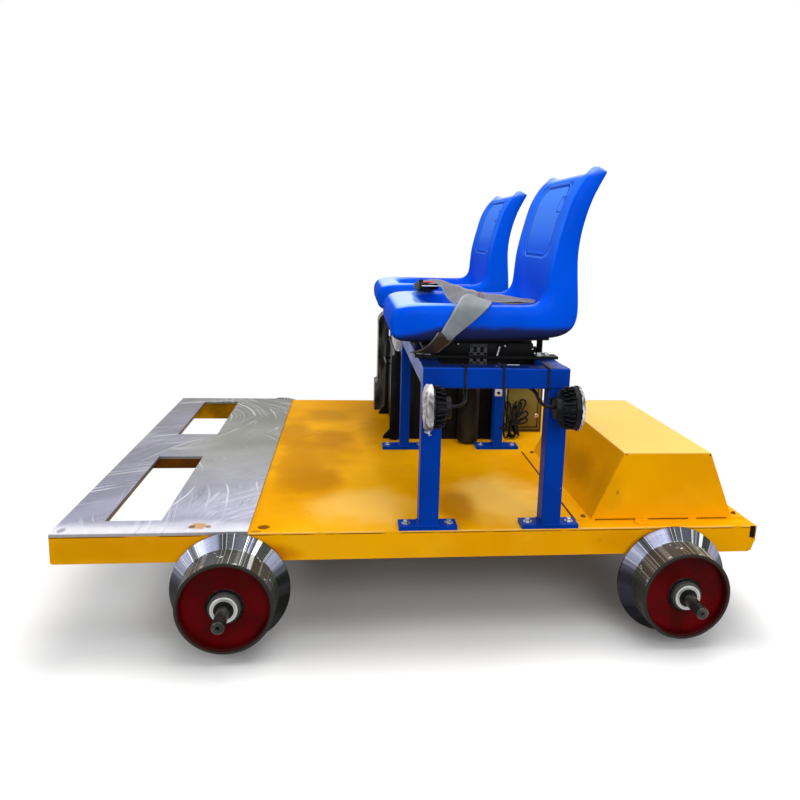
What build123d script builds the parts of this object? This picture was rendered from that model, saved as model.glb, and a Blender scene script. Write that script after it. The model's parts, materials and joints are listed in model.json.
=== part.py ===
from build123d import *
import os

# Motorised two-seat rail trolley: a flat deck on two flanged wheelsets.
# Millimetres. +X runs from the front plate to the motor cover, +Y from the near
# side to the far side, +Z up. The origin is on the floor under the middle of the box
# that holds the whole trolley. "st" values are stations behind the front edge, "of"
# values are offsets from the near deck edge, and "up" values are heights above the deck.

# ---- driving dimensions -------------------------------------------------------------
DECK_LENGTH = 1650.0
DECK_WIDTH = 1340.0
REAR_STRIP = 13.0            # the rear channel reaches this far behind the side beams
FLANGE_R = 135.0             # wheels stand on their flanges
AXLE_DROP = 129.0            # deck top to axle centre
SHEET = 3.0                  # deck sheet
PLATE_RISE = 5.0             # front plate stands above the deck sheet
BEAM_DEPTH = 64.0            # side beams, below the sheet
BEAM_WIDTH = 50.0

AXLE_Z = FLANGE_R
DECK_TOP = AXLE_Z + AXLE_DROP
BEAM_TOP = DECK_TOP - SHEET
BEAM_BOTTOM = BEAM_TOP - BEAM_DEPTH
HALF_LENGTH = (DECK_LENGTH + REAR_STRIP) / 2
HALF_WIDTH = DECK_WIDTH / 2

PLATE_END = 430.0            # station where the front plate meets the deck sheet
CUTOUT_ST = (97.0, 224.0)
CUTOUTS_OF = ((71.0, 567.0), (809.0, 1280.0))

AXLE_STATIONS = {"front": 392.0, "rear": 1444.0}
TREAD_R = 106.5
AXLE_R = 22.0
STUB_R = 14.0
STUB_REACH = 182.0           # axle stub end, out from the deck edge
RUNNING_GAP = 0.05           # radial play of the axle in its bearings

TUBE = 47.0                  # seat frame square tube
TUBE_UP = (341.0, 389.0)
FRAME_ST = (820.0, 1161.0)
FOOT_LENGTH = 138.0
FOOT_HEIGHT = 10.0

SEAT_CENTRES_OF = {"near": 280.0, "far": 1060.0}
SEAT_WIDTH = 400.0
BUCKET_WIDTH = 310.0

LAMP_OF = -58.0
LAMP_UP = 311.0
LAMP_R = 50.0
LAMP_DEPTH = 62.0
LAMP_CABLE_R = 4.0
SUPPLY_CABLE_R = 2.5


def st(station):
    """X of a station measured back from the front edge."""
    return station - HALF_LENGTH


def of(offset):
    """Y of an offset measured in from the near deck edge."""
    return offset - HALF_WIDTH


def up(height):
    """Z of a height above the deck sheet."""
    return DECK_TOP + height


def middle(span):
    return (span[0] + span[1]) / 2


def slab(x, y, z, mode=Mode.ADD):
    """A rectangular block between (low, high) pairs, in the part that is being built."""
    with Locations((middle(x), middle(y), middle(z))):
        Box(x[1] - x[0], y[1] - y[0], z[1] - z[0], mode=mode)


os.makedirs("parts", exist_ok=True)

# ---- underframe ----------------------------------------------------------------------
BEAM_Z = (BEAM_BOTTOM, BEAM_TOP)
NEAR_BEAM_Y = (of(0), of(BEAM_WIDTH))
FAR_BEAM_Y = (of(DECK_WIDTH - BEAM_WIDTH), of(DECK_WIDTH))
INNER_Y = (NEAR_BEAM_Y[1], FAR_BEAM_Y[0])

with BuildPart() as side_beams:
    for span in (NEAR_BEAM_Y, FAR_BEAM_Y):
        slab((st(0), st(DECK_LENGTH)), span, BEAM_Z)
    lower_ends = side_beams.edges().filter_by(Axis.Y).group_by(Axis.Z)[0]
    fillet(lower_ends, radius=6)
side_beams.part.label = "side_beams"
export_step(side_beams.part, "parts/side_beams.step")

with BuildPart() as front_crossmember:
    slab((st(0), st(BEAM_WIDTH)), INNER_Y, BEAM_Z)
front_crossmember.part.label = "front_crossmember"
export_step(front_crossmember.part, "parts/front_crossmember.step")

RIB_DEPTH = 38.0
RIB_WIDTH = 60.0
FIRST_CROSS_ST = (405.0, 455.0)
with BuildPart() as centre_rib:
    rib_y = (-RIB_WIDTH / 2, RIB_WIDTH / 2)
    slab((st(BEAM_WIDTH), st(FIRST_CROSS_ST[0])), rib_y, (BEAM_TOP - RIB_DEPTH, BEAM_TOP))
centre_rib.part.label = "centre_rib"
export_step(centre_rib.part, "parts/centre_rib.step")

CROSS_STATIONS = (FIRST_CROSS_ST, (820.0, 870.0), (1111.0, 1161.0), (1580.0, 1630.0))
with BuildPart() as crossmembers:
    for stations in CROSS_STATIONS:
        slab((st(stations[0]), st(stations[1])), INNER_Y, BEAM_Z)
crossmembers.part.label = "crossmembers"
export_step(crossmembers.part, "parts/crossmembers.step")

# The rear channel is a folded strip along the back edge, hollow in its upper half.
with BuildPart() as rear_channel:
    with BuildSketch(Plane.XZ.offset(-of(DECK_WIDTH))):
        with BuildLine():
            x0 = st(DECK_LENGTH)
            Polyline(
                (x0, up(0)),
                (x0 + REAR_STRIP - 1.5, up(0)),
                (x0 + REAR_STRIP, up(-3)),
                (x0 + REAR_STRIP - 1.0, up(-36)),
                (x0 + 3.0, up(-64)),
                (x0, up(-64)),
                close=True,
            )
        make_face()
        with Locations((x0 + REAR_STRIP / 2 - 0.3, up(-19))):
            SlotOverall(31, REAR_STRIP - 3.6, rotation=90, mode=Mode.SUBTRACT)
    extrude(amount=DECK_WIDTH)
rear_channel.part.label = "rear_channel"
export_step(rear_channel.part, "parts/rear_channel.step")

# ---- deck ------------------------------------------------------------------------------
with BuildPart() as deck_sheet:
    slab((st(PLATE_END), st(DECK_LENGTH)), (of(0), of(DECK_WIDTH)), (BEAM_TOP, DECK_TOP))
deck_sheet.part.label = "deck_sheet"
export_step(deck_sheet.part, "parts/deck_sheet.step")

with BuildPart() as front_plate:
    slab((st(0), st(PLATE_END)), (of(0), of(DECK_WIDTH)), (BEAM_TOP, DECK_TOP + PLATE_RISE))
    with BuildSketch(Plane.XY.offset(BEAM_TOP)):
        for offsets in CUTOUTS_OF:
            with Locations((middle((st(CUTOUT_ST[0]), st(CUTOUT_ST[1]))), of(middle(offsets)))):
                Rectangle(CUTOUT_ST[1] - CUTOUT_ST[0], offsets[1] - offsets[0])
    extrude(amount=SHEET + PLATE_RISE, mode=Mode.SUBTRACT)
front_plate.part.label = "front_plate"
export_step(front_plate.part, "parts/front_plate.step")

# ---- motor and its folded sheet cover ------------------------------------------------
COVER_OF = (47.0, 619.0)
COVER_BASE_ST = (1252.0, 1622.0)
COVER_TOP_ST = (1327.0, 1549.0)
COVER_HEIGHT = 173.0
COVER_WALL = 3.0
COVER_FLANGE_ST = (1215.0, 1655.0)

with BuildPart() as motor_cover:
    with BuildSketch(Plane.XZ.offset(-of(COVER_OF[1]))):
        with BuildLine():
            Polyline(
                (st(COVER_BASE_ST[0]), up(0)),
                (st(COVER_TOP_ST[0]), up(COVER_HEIGHT)),
                (st(COVER_TOP_ST[1]), up(COVER_HEIGHT)),
                (st(COVER_BASE_ST[1]), up(0)),
                close=True,
            )
        make_face()
    extrude(amount=COVER_OF[1] - COVER_OF[0])
    base = motor_cover.faces().sort_by(Axis.Z)[0]
    offset(amount=-COVER_WALL, openings=base)
    cover_y = (of(COVER_OF[0]), of(COVER_OF[1]))
    slab((st(COVER_FLANGE_ST[0]), st(COVER_BASE_ST[0] + 2)), cover_y, (up(0), up(COVER_WALL)))
    slab((st(COVER_BASE_ST[1] - 2), st(COVER_FLANGE_ST[1])), cover_y, (up(0), up(COVER_WALL)))
    # gaps between the tabs along the foot of the near end
    near_end = (of(COVER_OF[0] - 1), of(COVER_OF[0] + COVER_WALL + 1))
    for gap in ((1264.0, 1368.0), (1400.0, 1506.0), (1527.0, 1608.0)):
        slab((st(gap[0]), st(gap[1])), near_end, (up(-1), up(4)), mode=Mode.SUBTRACT)
motor_cover.part.label = "motor_cover"
export_step(motor_cover.part, "parts/motor_cover.step")

# One plain block for the closed electric motor and its reduction gear.
with BuildPart() as drive_motor:
    slab((st(1345), st(1535)), (of(150), of(540)), (up(0), up(150)))
drive_motor.part.label = "drive_motor"
export_step(drive_motor.part, "parts/drive_motor.step")

# ---- wheelsets -----------------------------------------------------------------------
# Wheel outline as (distance out from the deck edge, radius) pairs.
WHEEL_BACK = 8.0
WHEEL_FACE = 106.0
WHEEL_OUTLINE = (
    (WHEEL_BACK, AXLE_R),
    (WHEEL_BACK, 40.0),
    (WHEEL_BACK + 4.0, 44.0),
    (WHEEL_BACK + 16.0, 46.0),
    (WHEEL_BACK + 16.0, 90.0),
    (WHEEL_BACK, 94.0),
    (WHEEL_BACK, 132.0),
    (WHEEL_BACK + 3.0, FLANGE_R),
    (WHEEL_BACK + 8.0, FLANGE_R),
    (38.0, 110.0),
    (41.0, TREAD_R + 2.0),
    (WHEEL_FACE - 2.0, TREAD_R),
    (WHEEL_FACE, TREAD_R - 2.0),
    (WHEEL_FACE, 97.0),
    (90.0, 93.0),
    (90.0, 44.0),
    (94.0, 40.0),
    (94.0, AXLE_R),
)
COLLAR_OUTLINE = ((94.0, AXLE_R), (94.0, 35.0), (104.0, 35.0), (110.0, 29.0), (110.0, AXLE_R))
AXLE_END = 110.0
AXLE_OUTLINE = (
    (AXLE_END, AXLE_R - 3.0),
    (AXLE_END, STUB_R),
    (STUB_REACH - 2.0, STUB_R),
    (STUB_REACH, STUB_R - 2.0),
    (STUB_REACH, 4.5),
    (STUB_REACH - 8.0, 0.0),
)
SIDES = {"near": -1, "far": 1}


def turned(outline, side):
    """(Y, Z) points of an outline turned about an axle, on the near or the far side."""
    return [(side * (HALF_WIDTH + out), AXLE_Z + radius) for out, radius in outline]


for end, station in AXLE_STATIONS.items():
    plane = Plane.YZ.offset(st(station))
    axle_line = Axis((st(station), 0, AXLE_Z), (0, 1, 0))

    for side_name, side in SIDES.items():
        with BuildPart() as wheel:
            with BuildSketch(plane):
                with BuildLine():
                    Polyline(*turned(WHEEL_OUTLINE, side), close=True)
                make_face()
            revolve(axis=axle_line)
        wheel.part.label = f"{end}_wheel_{side_name}"
        export_step(wheel.part, f"parts/{end}_wheel_{side_name}.step")

    with BuildPart() as collars:
        for side in SIDES.values():
            with BuildSketch(plane):
                with BuildLine():
                    Polyline(*turned(COLLAR_OUTLINE, side), close=True)
                make_face()
            revolve(axis=axle_line)
    collars.part.label = f"{end}_hub_collars"
    export_step(collars.part, f"parts/{end}_hub_collars.step")

    with BuildPart() as axle:
        with BuildSketch(plane):
            with BuildLine():
                near_half = turned(AXLE_OUTLINE, SIDES["near"])
                far_half = turned(AXLE_OUTLINE, SIDES["far"])
                body = [(-HALF_WIDTH - AXLE_END, AXLE_Z + AXLE_R), (HALF_WIDTH + AXLE_END, AXLE_Z + AXLE_R)]
                Polyline(*near_half[::-1], *body, *far_half, close=True)
            make_face()
        revolve(axis=axle_line)
    axle.part.label = f"{end}_axle"
    export_step(axle.part, f"parts/{end}_axle.step")

# Pillow blocks under the side beams, one at each end of each axle.
with BuildPart() as bearing_blocks:
    for station in AXLE_STATIONS.values():
        for side in SIDES.values():
            inner_y = side * (HALF_WIDTH - BEAM_WIDTH) if side < 0 else side * HALF_WIDTH - 2
            with BuildSketch(Plane.XZ.offset(-inner_y)):
                with Locations((st(station), (AXLE_Z + BEAM_BOTTOM) / 2)):
                    Rectangle(84, BEAM_BOTTOM - AXLE_Z)
                with Locations((st(station), BEAM_BOTTOM - 7)):
                    Rectangle(150, 14)
                with Locations((st(station), AXLE_Z)):
                    Circle(42)
                    Circle(AXLE_R + RUNNING_GAP, mode=Mode.SUBTRACT)
            extrude(amount=BEAM_WIDTH - 2)
bearing_blocks.part.label = "bearing_blocks"
export_step(bearing_blocks.part, "parts/bearing_blocks.step")

# Flat case from the deck down round the rear axle, over the chain of the final drive.
with BuildPart() as chain_case:
    rear_x = st(AXLE_STATIONS["rear"])
    with BuildSketch(Plane.XZ.offset(-of(640))):
        with Locations((rear_x, AXLE_Z + 30)):
            Rectangle(150, 90)
        with Locations((rear_x, AXLE_Z)):
            Circle(75)
        with Locations((rear_x, (AXLE_Z + BEAM_TOP) / 2)):
            Rectangle(130, BEAM_TOP - AXLE_Z)
        with Locations((rear_x, AXLE_Z)):
            Circle(AXLE_R + 6, mode=Mode.SUBTRACT)
    extrude(amount=56)
chain_case.part.label = "chain_case"
export_step(chain_case.part, "parts/chain_case.step")

# ---- seat frame ------------------------------------------------------------------------
TUBE_Z = (up(TUBE_UP[0]), up(TUBE_UP[1]))
FRAME_X = (st(FRAME_ST[0]), st(FRAME_ST[1]))

with BuildPart() as seat_rails_long:
    for y0 in (of(0), of(DECK_WIDTH - TUBE)):
        slab(FRAME_X, (y0, y0 + TUBE), TUBE_Z)
    fillet(seat_rails_long.edges().filter_by(Axis.X), radius=4)
seat_rails_long.part.label = "seat_rails_long"
export_step(seat_rails_long.part, "parts/seat_rails_long.step")

with BuildPart() as seat_rails_cross:
    for x0 in (FRAME_X[0], FRAME_X[1] - TUBE):
        slab((x0, x0 + TUBE), (of(TUBE), of(DECK_WIDTH - TUBE)), TUBE_Z)
    fillet(seat_rails_cross.edges().filter_by(Axis.Y), radius=4)
seat_rails_cross.part.label = "seat_rails_cross"
export_step(seat_rails_cross.part, "parts/seat_rails_cross.step")

# Leg rows as (size along X, size along Y, near face offset, stations of the two legs).
SIDE_LEG_ST = (FRAME_ST[0], FRAME_ST[1] - TUBE)
LEG_ROWS = (
    (TUBE, TUBE, 0.0, SIDE_LEG_ST),
    (30.0, 50.0, 646.0, (820.0, 1124.0)),
    (TUBE, TUBE, DECK_WIDTH - TUBE, SIDE_LEG_ST),
)
LEG_Z = (up(FOOT_HEIGHT), TUBE_Z[0])
with BuildPart() as seat_legs:
    for along, across, offset_in, stations in LEG_ROWS:
        for station in stations:
            slab((st(station), st(station + along)), (of(offset_in), of(offset_in + across)), LEG_Z)
    fillet(seat_legs.edges().filter_by(Axis.Z), radius=4)
seat_legs.part.label = "seat_legs"
export_step(seat_legs.part, "parts/seat_legs.step")

with BuildPart() as foot_plates:
    for along, across, offset_in, stations in LEG_ROWS:
        foot_y = (of(offset_in), of(offset_in + across))
        for station in stations:
            leg_x = st(station + along / 2)
            slab((leg_x - FOOT_LENGTH / 2, leg_x + FOOT_LENGTH / 2), foot_y, (up(0), up(FOOT_HEIGHT)))
foot_plates.part.label = "foot_plates"
export_step(foot_plates.part, "parts/foot_plates.step")

# ---- seats -----------------------------------------------------------------------------
# Side view of the moulded shell as (station, height above the deck) points.
RIM_UP = 522.0
PAN_UP = 478.0
SEAT_BOTTOM = ((782.0, 432.0), (1150.0, 444.0))
REAR_FOOT = (1200.0, 500.0)
WAIST = (1192.0, 620.0)
EAR_TIP = (1249.0, 842.0)
EAR_TOP = (1216.0, 856.0)
LUMBAR = (1134.0, 560.0)


def shell_point(point):
    """(X, Z) of a (station, height) pair of the seat's side view."""
    return (st(point[0]), up(point[1]))


for name, centre in SEAT_CENTRES_OF.items():
    with BuildPart() as seat:
        with BuildSketch(Plane.XZ.offset(-of(centre + SEAT_WIDTH / 2))):
            with BuildLine():
                front_top = shell_point((785, RIM_UP))
                bottom = [shell_point(p) for p in SEAT_BOTTOM]
                ThreePointArc(front_top, shell_point((748, 478)), bottom[0])
                Line(*bottom)
                ThreePointArc(bottom[1], shell_point((1187, 462)), shell_point(REAR_FOOT))
                Line(shell_point(REAR_FOOT), shell_point(WAIST))
                ThreePointArc(shell_point(WAIST), shell_point((1206, 733)), shell_point(EAR_TIP))
                Line(shell_point(EAR_TIP), shell_point(EAR_TOP))
                ThreePointArc(shell_point(EAR_TOP), shell_point((1150, 700)), shell_point(LUMBAR))
                ThreePointArc(shell_point(LUMBAR), shell_point((1120, 533)), shell_point((1085, RIM_UP)))
                Line(shell_point((1085, RIM_UP)), front_top)
            make_face()
        extrude(amount=SEAT_WIDTH)
        # bucket: the hollow pan and the hollow front of the backrest
        with BuildSketch(Plane.XZ.offset(-of(centre + BUCKET_WIDTH / 2))):
            with BuildLine():
                Polyline(
                    shell_point((806, RIM_UP + 40)),
                    shell_point((806, PAN_UP + 8)),
                    shell_point((822, PAN_UP)),
                    shell_point((1085, PAN_UP)),
                    shell_point((1135, 500)),
                    shell_point((1152, 560)),
                    shell_point((1166, 680)),
                    shell_point((1196, 790)),
                    shell_point((1232, 838)),
                    shell_point((1180, 870)),
                    shell_point((1080, 600)),
                    close=True,
                )
            make_face()
        extrude(amount=BUCKET_WIDTH, mode=Mode.SUBTRACT)
    seat.part.label = f"seat_{name}"
    export_step(seat.part, f"parts/seat_{name}.step")

# Black steel bracket under each seat: two bars on the cross rails, four posts, and two
# straps that lie against the sloping bottom of the shell.
BRACKET_ST = (812.0, 1168.0)
BAR_THICK = 7.0
BAR_WIDTH = 40.0
BAR_SPREAD = 133.0
POST_R = 7.0
POST_STATIONS = (846.0, 1124.0)
STRAP_ST = (800.0, 1142.0)


def shell_bottom(station):
    """Height above the deck of the shell's bottom at a station."""
    (s0, h0), (s1, h1) = SEAT_BOTTOM
    return h0 + (station - s0) * (h1 - h0) / (s1 - s0)


with BuildPart() as seat_brackets:
    for centre in SEAT_CENTRES_OF.values():
        for side in (-1, 1):
            bar_of = centre + side * BAR_SPREAD
            bar_y = (of(bar_of - BAR_WIDTH / 2), of(bar_of + BAR_WIDTH / 2))
            slab((st(BRACKET_ST[0]), st(BRACKET_ST[1])), bar_y, (TUBE_Z[1], TUBE_Z[1] + BAR_THICK))
            with BuildSketch(Plane.XZ.offset(-bar_y[1])):
                with BuildLine():
                    ends = [(s, shell_bottom(s)) for s in STRAP_ST]
                    Polyline(
                        shell_point(ends[0]),
                        shell_point(ends[1]),
                        shell_point((ends[1][0], ends[1][1] - BAR_THICK)),
                        shell_point((ends[0][0], ends[0][1] - BAR_THICK)),
                        close=True,
                    )
                make_face()
            extrude(amount=BAR_WIDTH)
            for station in POST_STATIONS:
                post_top = shell_bottom(station) - BAR_THICK + 2
                post_z = TUBE_UP[1] + BAR_THICK - 2
                with Locations((st(station), of(bar_of), up((post_z + post_top) / 2))):
                    Cylinder(POST_R, post_top - post_z)
        # one slotted plate ties the two bars together at the front
        tie_y = (of(centre - BAR_SPREAD), of(centre + BAR_SPREAD))
        slab((st(900), st(960)), tie_y, (TUBE_Z[1], TUBE_Z[1] + BAR_THICK))
seat_brackets.part.label = "seat_brackets"
export_step(seat_brackets.part, "parts/seat_brackets.step")

# ---- lap belts ---------------------------------------------------------------------------
# Plain blocks where the webbing of the near seat lies over its two rims, and where that of
# the far seat hangs from its outer bracket bar and lies on the lid of the power pack.
BELT_ST = (860.0, 1010.0)
ANCHOR_ST = (846.0, 894.0)
BELT_RISE = 8.0
HANGING_ST = (900.0, 948.0)
HANGING_THICK = 4.0
RESTING_ST = (1000.0, 1048.0)
RESTING_OF = (792.0, 906.5)
LID_UP = 300.0
with BuildPart() as seat_belts:
    near_rim = SEAT_CENTRES_OF["near"] - SEAT_WIDTH / 2
    far_rim = SEAT_CENTRES_OF["near"] + SEAT_WIDTH / 2
    belt_x = (st(BELT_ST[0]), st(BELT_ST[1]))
    slab(belt_x, (of(near_rim - 8), of(near_rim - 0.5)), (up(420), up(RIM_UP)))
    slab(belt_x, (of(near_rim - 8), of(near_rim + 40)), (up(RIM_UP), up(RIM_UP + BELT_RISE)))
    anchor_x = (st(ANCHOR_ST[0]), st(ANCHOR_ST[1]))
    slab(anchor_x, (of(far_rim + 0.5), of(far_rim + 8)), (up(420), up(RIM_UP)))
    slab(anchor_x, (of(far_rim - 50), of(far_rim + 8)), (up(RIM_UP), up(RIM_UP + BELT_RISE)))
    bar_edge = SEAT_CENTRES_OF["far"] + BAR_SPREAD + BAR_WIDTH / 2
    hanging_x = (st(HANGING_ST[0]), st(HANGING_ST[1]))
    slab(hanging_x, (of(bar_edge + 0.5), of(bar_edge + 0.5 + HANGING_THICK)), (up(1), up(TUBE_UP[1] + BAR_THICK)))
    resting_x = (st(RESTING_ST[0]), st(RESTING_ST[1]))
    slab(resting_x, (of(RESTING_OF[0]), of(RESTING_OF[1])), (up(LID_UP), up(LID_UP + HANGING_THICK)))
    slab(
        resting_x,
        (of(RESTING_OF[1] - HANGING_THICK), of(RESTING_OF[1])),
        (up(LID_UP), up(TUBE_UP[1] + BAR_THICK)),
    )
seat_belts.part.label = "seat_belts"
export_step(seat_belts.part, "parts/seat_belts.step")

BUCKLE_SIZE = (56.0, 70.0, 21.0)
# Where each buckle lies, as (station, offset, height of its underside).
BUCKLES = ((872.0, 432.0, RIM_UP + BELT_RISE), (1024.0, 830.0, LID_UP + HANGING_THICK))
with BuildPart() as belt_buckles:
    for station, offset, height in BUCKLES:
        with Locations((st(station), of(offset), up(height + BUCKLE_SIZE[2] / 2))):
            Box(*BUCKLE_SIZE)
    fillet(belt_buckles.edges().filter_by(Axis.Z), radius=6)
belt_buckles.part.label = "belt_buckles"
export_step(belt_buckles.part, "parts/belt_buckles.step")

# ---- work lamps on the near legs ---------------------------------------------------------
# Lamp outline as (distance back from the lens, radius) pairs, turned about its own axis.
LAMP_OUTLINE = (
    (0.0, 0.0),
    (3.0, 30.0),
    (8.0, LAMP_R - 3.0),
    (12.0, LAMP_R),
    (24.0, LAMP_R),
    (28.0, 45.0),
    (44.0, 37.0),
    (51.0, 28.0),
    (LAMP_DEPTH, 26.0),
    (LAMP_DEPTH, 0.0),
)
# Lamps as (name, station of the lens, direction from the lens into the body).
LAMPS = (("headlamp_front", 815.0, 1), ("headlamp_rear", 1173.0, -1))
BRACKET_BOSS_R = 8.0
BOSS_Y = (of(-24), of(-6))
LAMP_BOSS_DEPTH = 40.0

for name, lens, direction in LAMPS:
    with BuildPart() as lamp:
        with BuildSketch(Plane.XZ.offset(-of(LAMP_OF))):
            with BuildLine():
                lamp_points = [(st(lens + direction * back), up(LAMP_UP + radius)) for back, radius in LAMP_OUTLINE]
                Polyline(*lamp_points, close=True)
            make_face()
        revolve(axis=Axis((st(lens), of(LAMP_OF), up(LAMP_UP)), (1, 0, 0)))
        boss_x = st(lens + direction * LAMP_BOSS_DEPTH)
        with Locations(Location((boss_x, middle(BOSS_Y), up(LAMP_UP)), (90, 0, 0))):
            Cylinder(BRACKET_BOSS_R, BOSS_Y[1] - BOSS_Y[0], mode=Mode.SUBTRACT)
    lamp.part.label = name
    export_step(lamp.part, f"parts/{name}.step")

with BuildPart() as lamp_brackets:
    for name, lens, direction in LAMPS:
        boss_x = st(lens + direction * LAMP_BOSS_DEPTH)
        leg_x = FRAME_X[0] + TUBE / 2 if direction > 0 else FRAME_X[1] - TUBE / 2
        strap_x = (min(leg_x - 21, boss_x - 12), max(leg_x + 21, boss_x + 12))
        slab(strap_x, (of(-6), of(0)), (up(LAMP_UP - 11), up(LAMP_UP + 11)))
        with Locations(Location((boss_x, middle(BOSS_Y), up(LAMP_UP)), (90, 0, 0))):
            Cylinder(BRACKET_BOSS_R, BOSS_Y[1] - BOSS_Y[0])
lamp_brackets.part.label = "lamp_brackets"
export_step(lamp_brackets.part, "parts/lamp_brackets.step")

# ---- cables ------------------------------------------------------------------------------
# Routes as (station, offset, height) points; each corner gets the largest arc its runs allow.
LAMP_CABLE_ROUTE = (
    (877.0, -58.0, 313.0),
    (890.0, -58.0, 313.0),
    (902.0, -51.0, 315.0),
    (912.0, -34.0, 319.0),
    (918.0, -6.0, 326.0),
    (921.0, 24.0, 331.0),
    (927.0, 48.0, 335.0),
    (944.0, 60.0, 348.0),
    (972.0, 60.0, 354.0),
    (1010.0, 58.0, 355.0),
    (1046.0, 60.0, 353.0),
    (1070.0, 58.0, 343.0),
    (1082.0, 42.0, 332.0),
    (1086.0, 18.0, 331.0),
    (1084.0, -6.0, 327.0),
    (1084.0, -30.0, 319.0),
    (1090.0, -50.0, 314.0),
    (1099.0, -58.0, 313.0),
    (1111.0, -58.0, 313.0),
)
SUPPLY_CABLE_ROUTE = (
    (1158.0, 672.0, 341.0),
    (1158.0, 672.0, 318.0),
    (1160.0, 674.0, 274.0),
    (1159.0, 676.0, 220.0),
    (1161.0, 677.0, 164.0),
    (1162.0, 680.0, 110.0),
    (1165.0, 690.0, 66.0),
    (1171.0, 706.0, 32.0),
    (1180.0, 728.0, 14.0),
    (1191.0, 752.0, 11.0),
)


def corner_radii(points, share=0.45):
    """Largest arc radii that the runs beside each corner of a route leave room for."""
    vectors = [Vector(*p) for p in points]
    radii = []
    for before, corner, after in zip(vectors, vectors[1:], vectors[2:]):
        turn = (corner - before).get_angle(after - corner)
        run = min((corner - before).length, (after - corner).length)
        half_turn = Vector(1, 0, 0).rotate(Axis.Z, turn / 2)
        radii.append(share * run * half_turn.X / half_turn.Y)
    return radii


CABLES = (
    ("lamp_cable", LAMP_CABLE_ROUTE, LAMP_CABLE_R),
    ("supply_cable", SUPPLY_CABLE_ROUTE, SUPPLY_CABLE_R),
)
for name, route, cable_r in CABLES:
    places = [(st(p[0]), of(p[1]), up(p[2])) for p in route]
    radii = corner_radii(places)
    with BuildPart() as cable:
        with BuildLine() as path:
            line = FilletPolyline(*places, radius=radii)
        with BuildSketch(Plane(origin=line @ 0, z_dir=line % 0)):
            Circle(cable_r)
        sweep()
    print(name, "length", round(line.length), "smallest radius", round(min(radii)))
    cable.part.label = name
    export_step(cable.part, f"parts/{name}.step")

# Nylon ties round the near rail, as (station, reach in from the near edge).
with BuildPart() as cable_ties:
    for station, reach in ((914.0, TUBE), (1003.0, TUBE + 18), (1108.0, TUBE)):
        tie_x = (st(station), st(station + 5))
        slab(tie_x, (of(-2), of(reach + 2)), (TUBE_Z[0] - 2, TUBE_Z[1] + 2))
        slab(tie_x, (of(0), of(reach)), TUBE_Z, mode=Mode.SUBTRACT)
cable_ties.part.label = "cable_ties"
export_step(cable_ties.part, "parts/cable_ties.step")

# ---- power pack and controls, between the seats' middle and far legs ---------------------
PACK_ST = (808.0, 1150.0)
PACK_OF = (768.0, 1125.0)
PACK_HEIGHT = 287.0
LID_HEIGHT = 13.0
with BuildPart() as power_pack:
    slab((st(PACK_ST[0]), st(PACK_ST[1])), (of(PACK_OF[0]), of(PACK_OF[1])), (up(0), up(PACK_HEIGHT)))
    fillet(power_pack.edges().filter_by(Axis.Z), radius=8)
power_pack.part.label = "power_pack"
export_step(power_pack.part, "parts/power_pack.step")

with BuildPart() as power_pack_lid:
    lid_z = (up(PACK_HEIGHT), up(PACK_HEIGHT + LID_HEIGHT))
    slab((st(PACK_ST[0] - 4), st(PACK_ST[1] + 4)), (of(PACK_OF[0] - 4), of(PACK_OF[1] + 4)), lid_z)
    fillet(power_pack_lid.edges().filter_by(Axis.Z), radius=8)
power_pack_lid.part.label = "power_pack_lid"
export_step(power_pack_lid.part, "parts/power_pack_lid.step")

with BuildPart() as pack_gussets:
    for offset_in in (PACK_OF[0] + 6, PACK_OF[1] - 12):
        with BuildSketch(Plane.XZ.offset(-of(offset_in + 6))):
            with BuildLine():
                Polyline(
                    (st(PACK_ST[0]), up(0)),
                    (st(PACK_ST[0]), up(52)),
                    (st(PACK_ST[0] - 36), up(8)),
                    (st(PACK_ST[0] - 36), up(0)),
                    close=True,
                )
            make_face()
        extrude(amount=6)
pack_gussets.part.label = "pack_gussets"
export_step(pack_gussets.part, "parts/pack_gussets.step")

CHARGER_Z = (up(PACK_HEIGHT + LID_HEIGHT), up(PACK_HEIGHT + LID_HEIGHT + 30))
with BuildPart() as charger:
    slab((st(808), st(900)), (of(790), of(1000)), CHARGER_Z)
    fillet(charger.edges().filter_by(Axis.Z), radius=5)
charger.part.label = "charger"
export_step(charger.part, "parts/charger.step")

CONTROL_ST = (1196.0, 1340.0)
CONTROL_OF = (860.0, 990.0)
CONTROL_HEIGHT = 190.0
GLAND_ST = 1240.0            # cable gland on the near face
GLAND_UP = 95.0
GLAND_R = 7.0
GLAND_LENGTH = 15.0
with BuildPart() as control_box:
    slab((st(CONTROL_ST[0]), st(CONTROL_ST[1])), (of(CONTROL_OF[0]), of(CONTROL_OF[1])), (up(0), up(CONTROL_HEIGHT)))
    fillet(control_box.edges().filter_by(Axis.Z), radius=4)
    gland_y = of(CONTROL_OF[0] - GLAND_LENGTH / 2)
    with Locations(Location((st(GLAND_ST), gland_y, up(GLAND_UP)), (90, 0, 0))):
        Cylinder(GLAND_R, GLAND_LENGTH)
control_box.part.label = "control_box"
export_step(control_box.part, "parts/control_box.step")

# Upright case with a rounded top at the front of the pack, on the far side.
with BuildPart() as upright_case:
    with BuildSketch(Plane.XZ.offset(-of(1290))):
        with BuildLine():
            Polyline(
                (st(757), up(0)),
                (st(757), up(105)),
                (st(768), up(112)),
                (st(768), up(330)),
            )
            ThreePointArc((st(768), up(330)), (st(776), up(366)), (st(800), up(380)))
            Polyline((st(800), up(380)), (st(808), up(380)), (st(808), up(0)), (st(757), up(0)))
        make_face()
    extrude(amount=110)
upright_case.part.label = "upright_case"
export_step(upright_case.part, "parts/upright_case.step")

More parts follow.
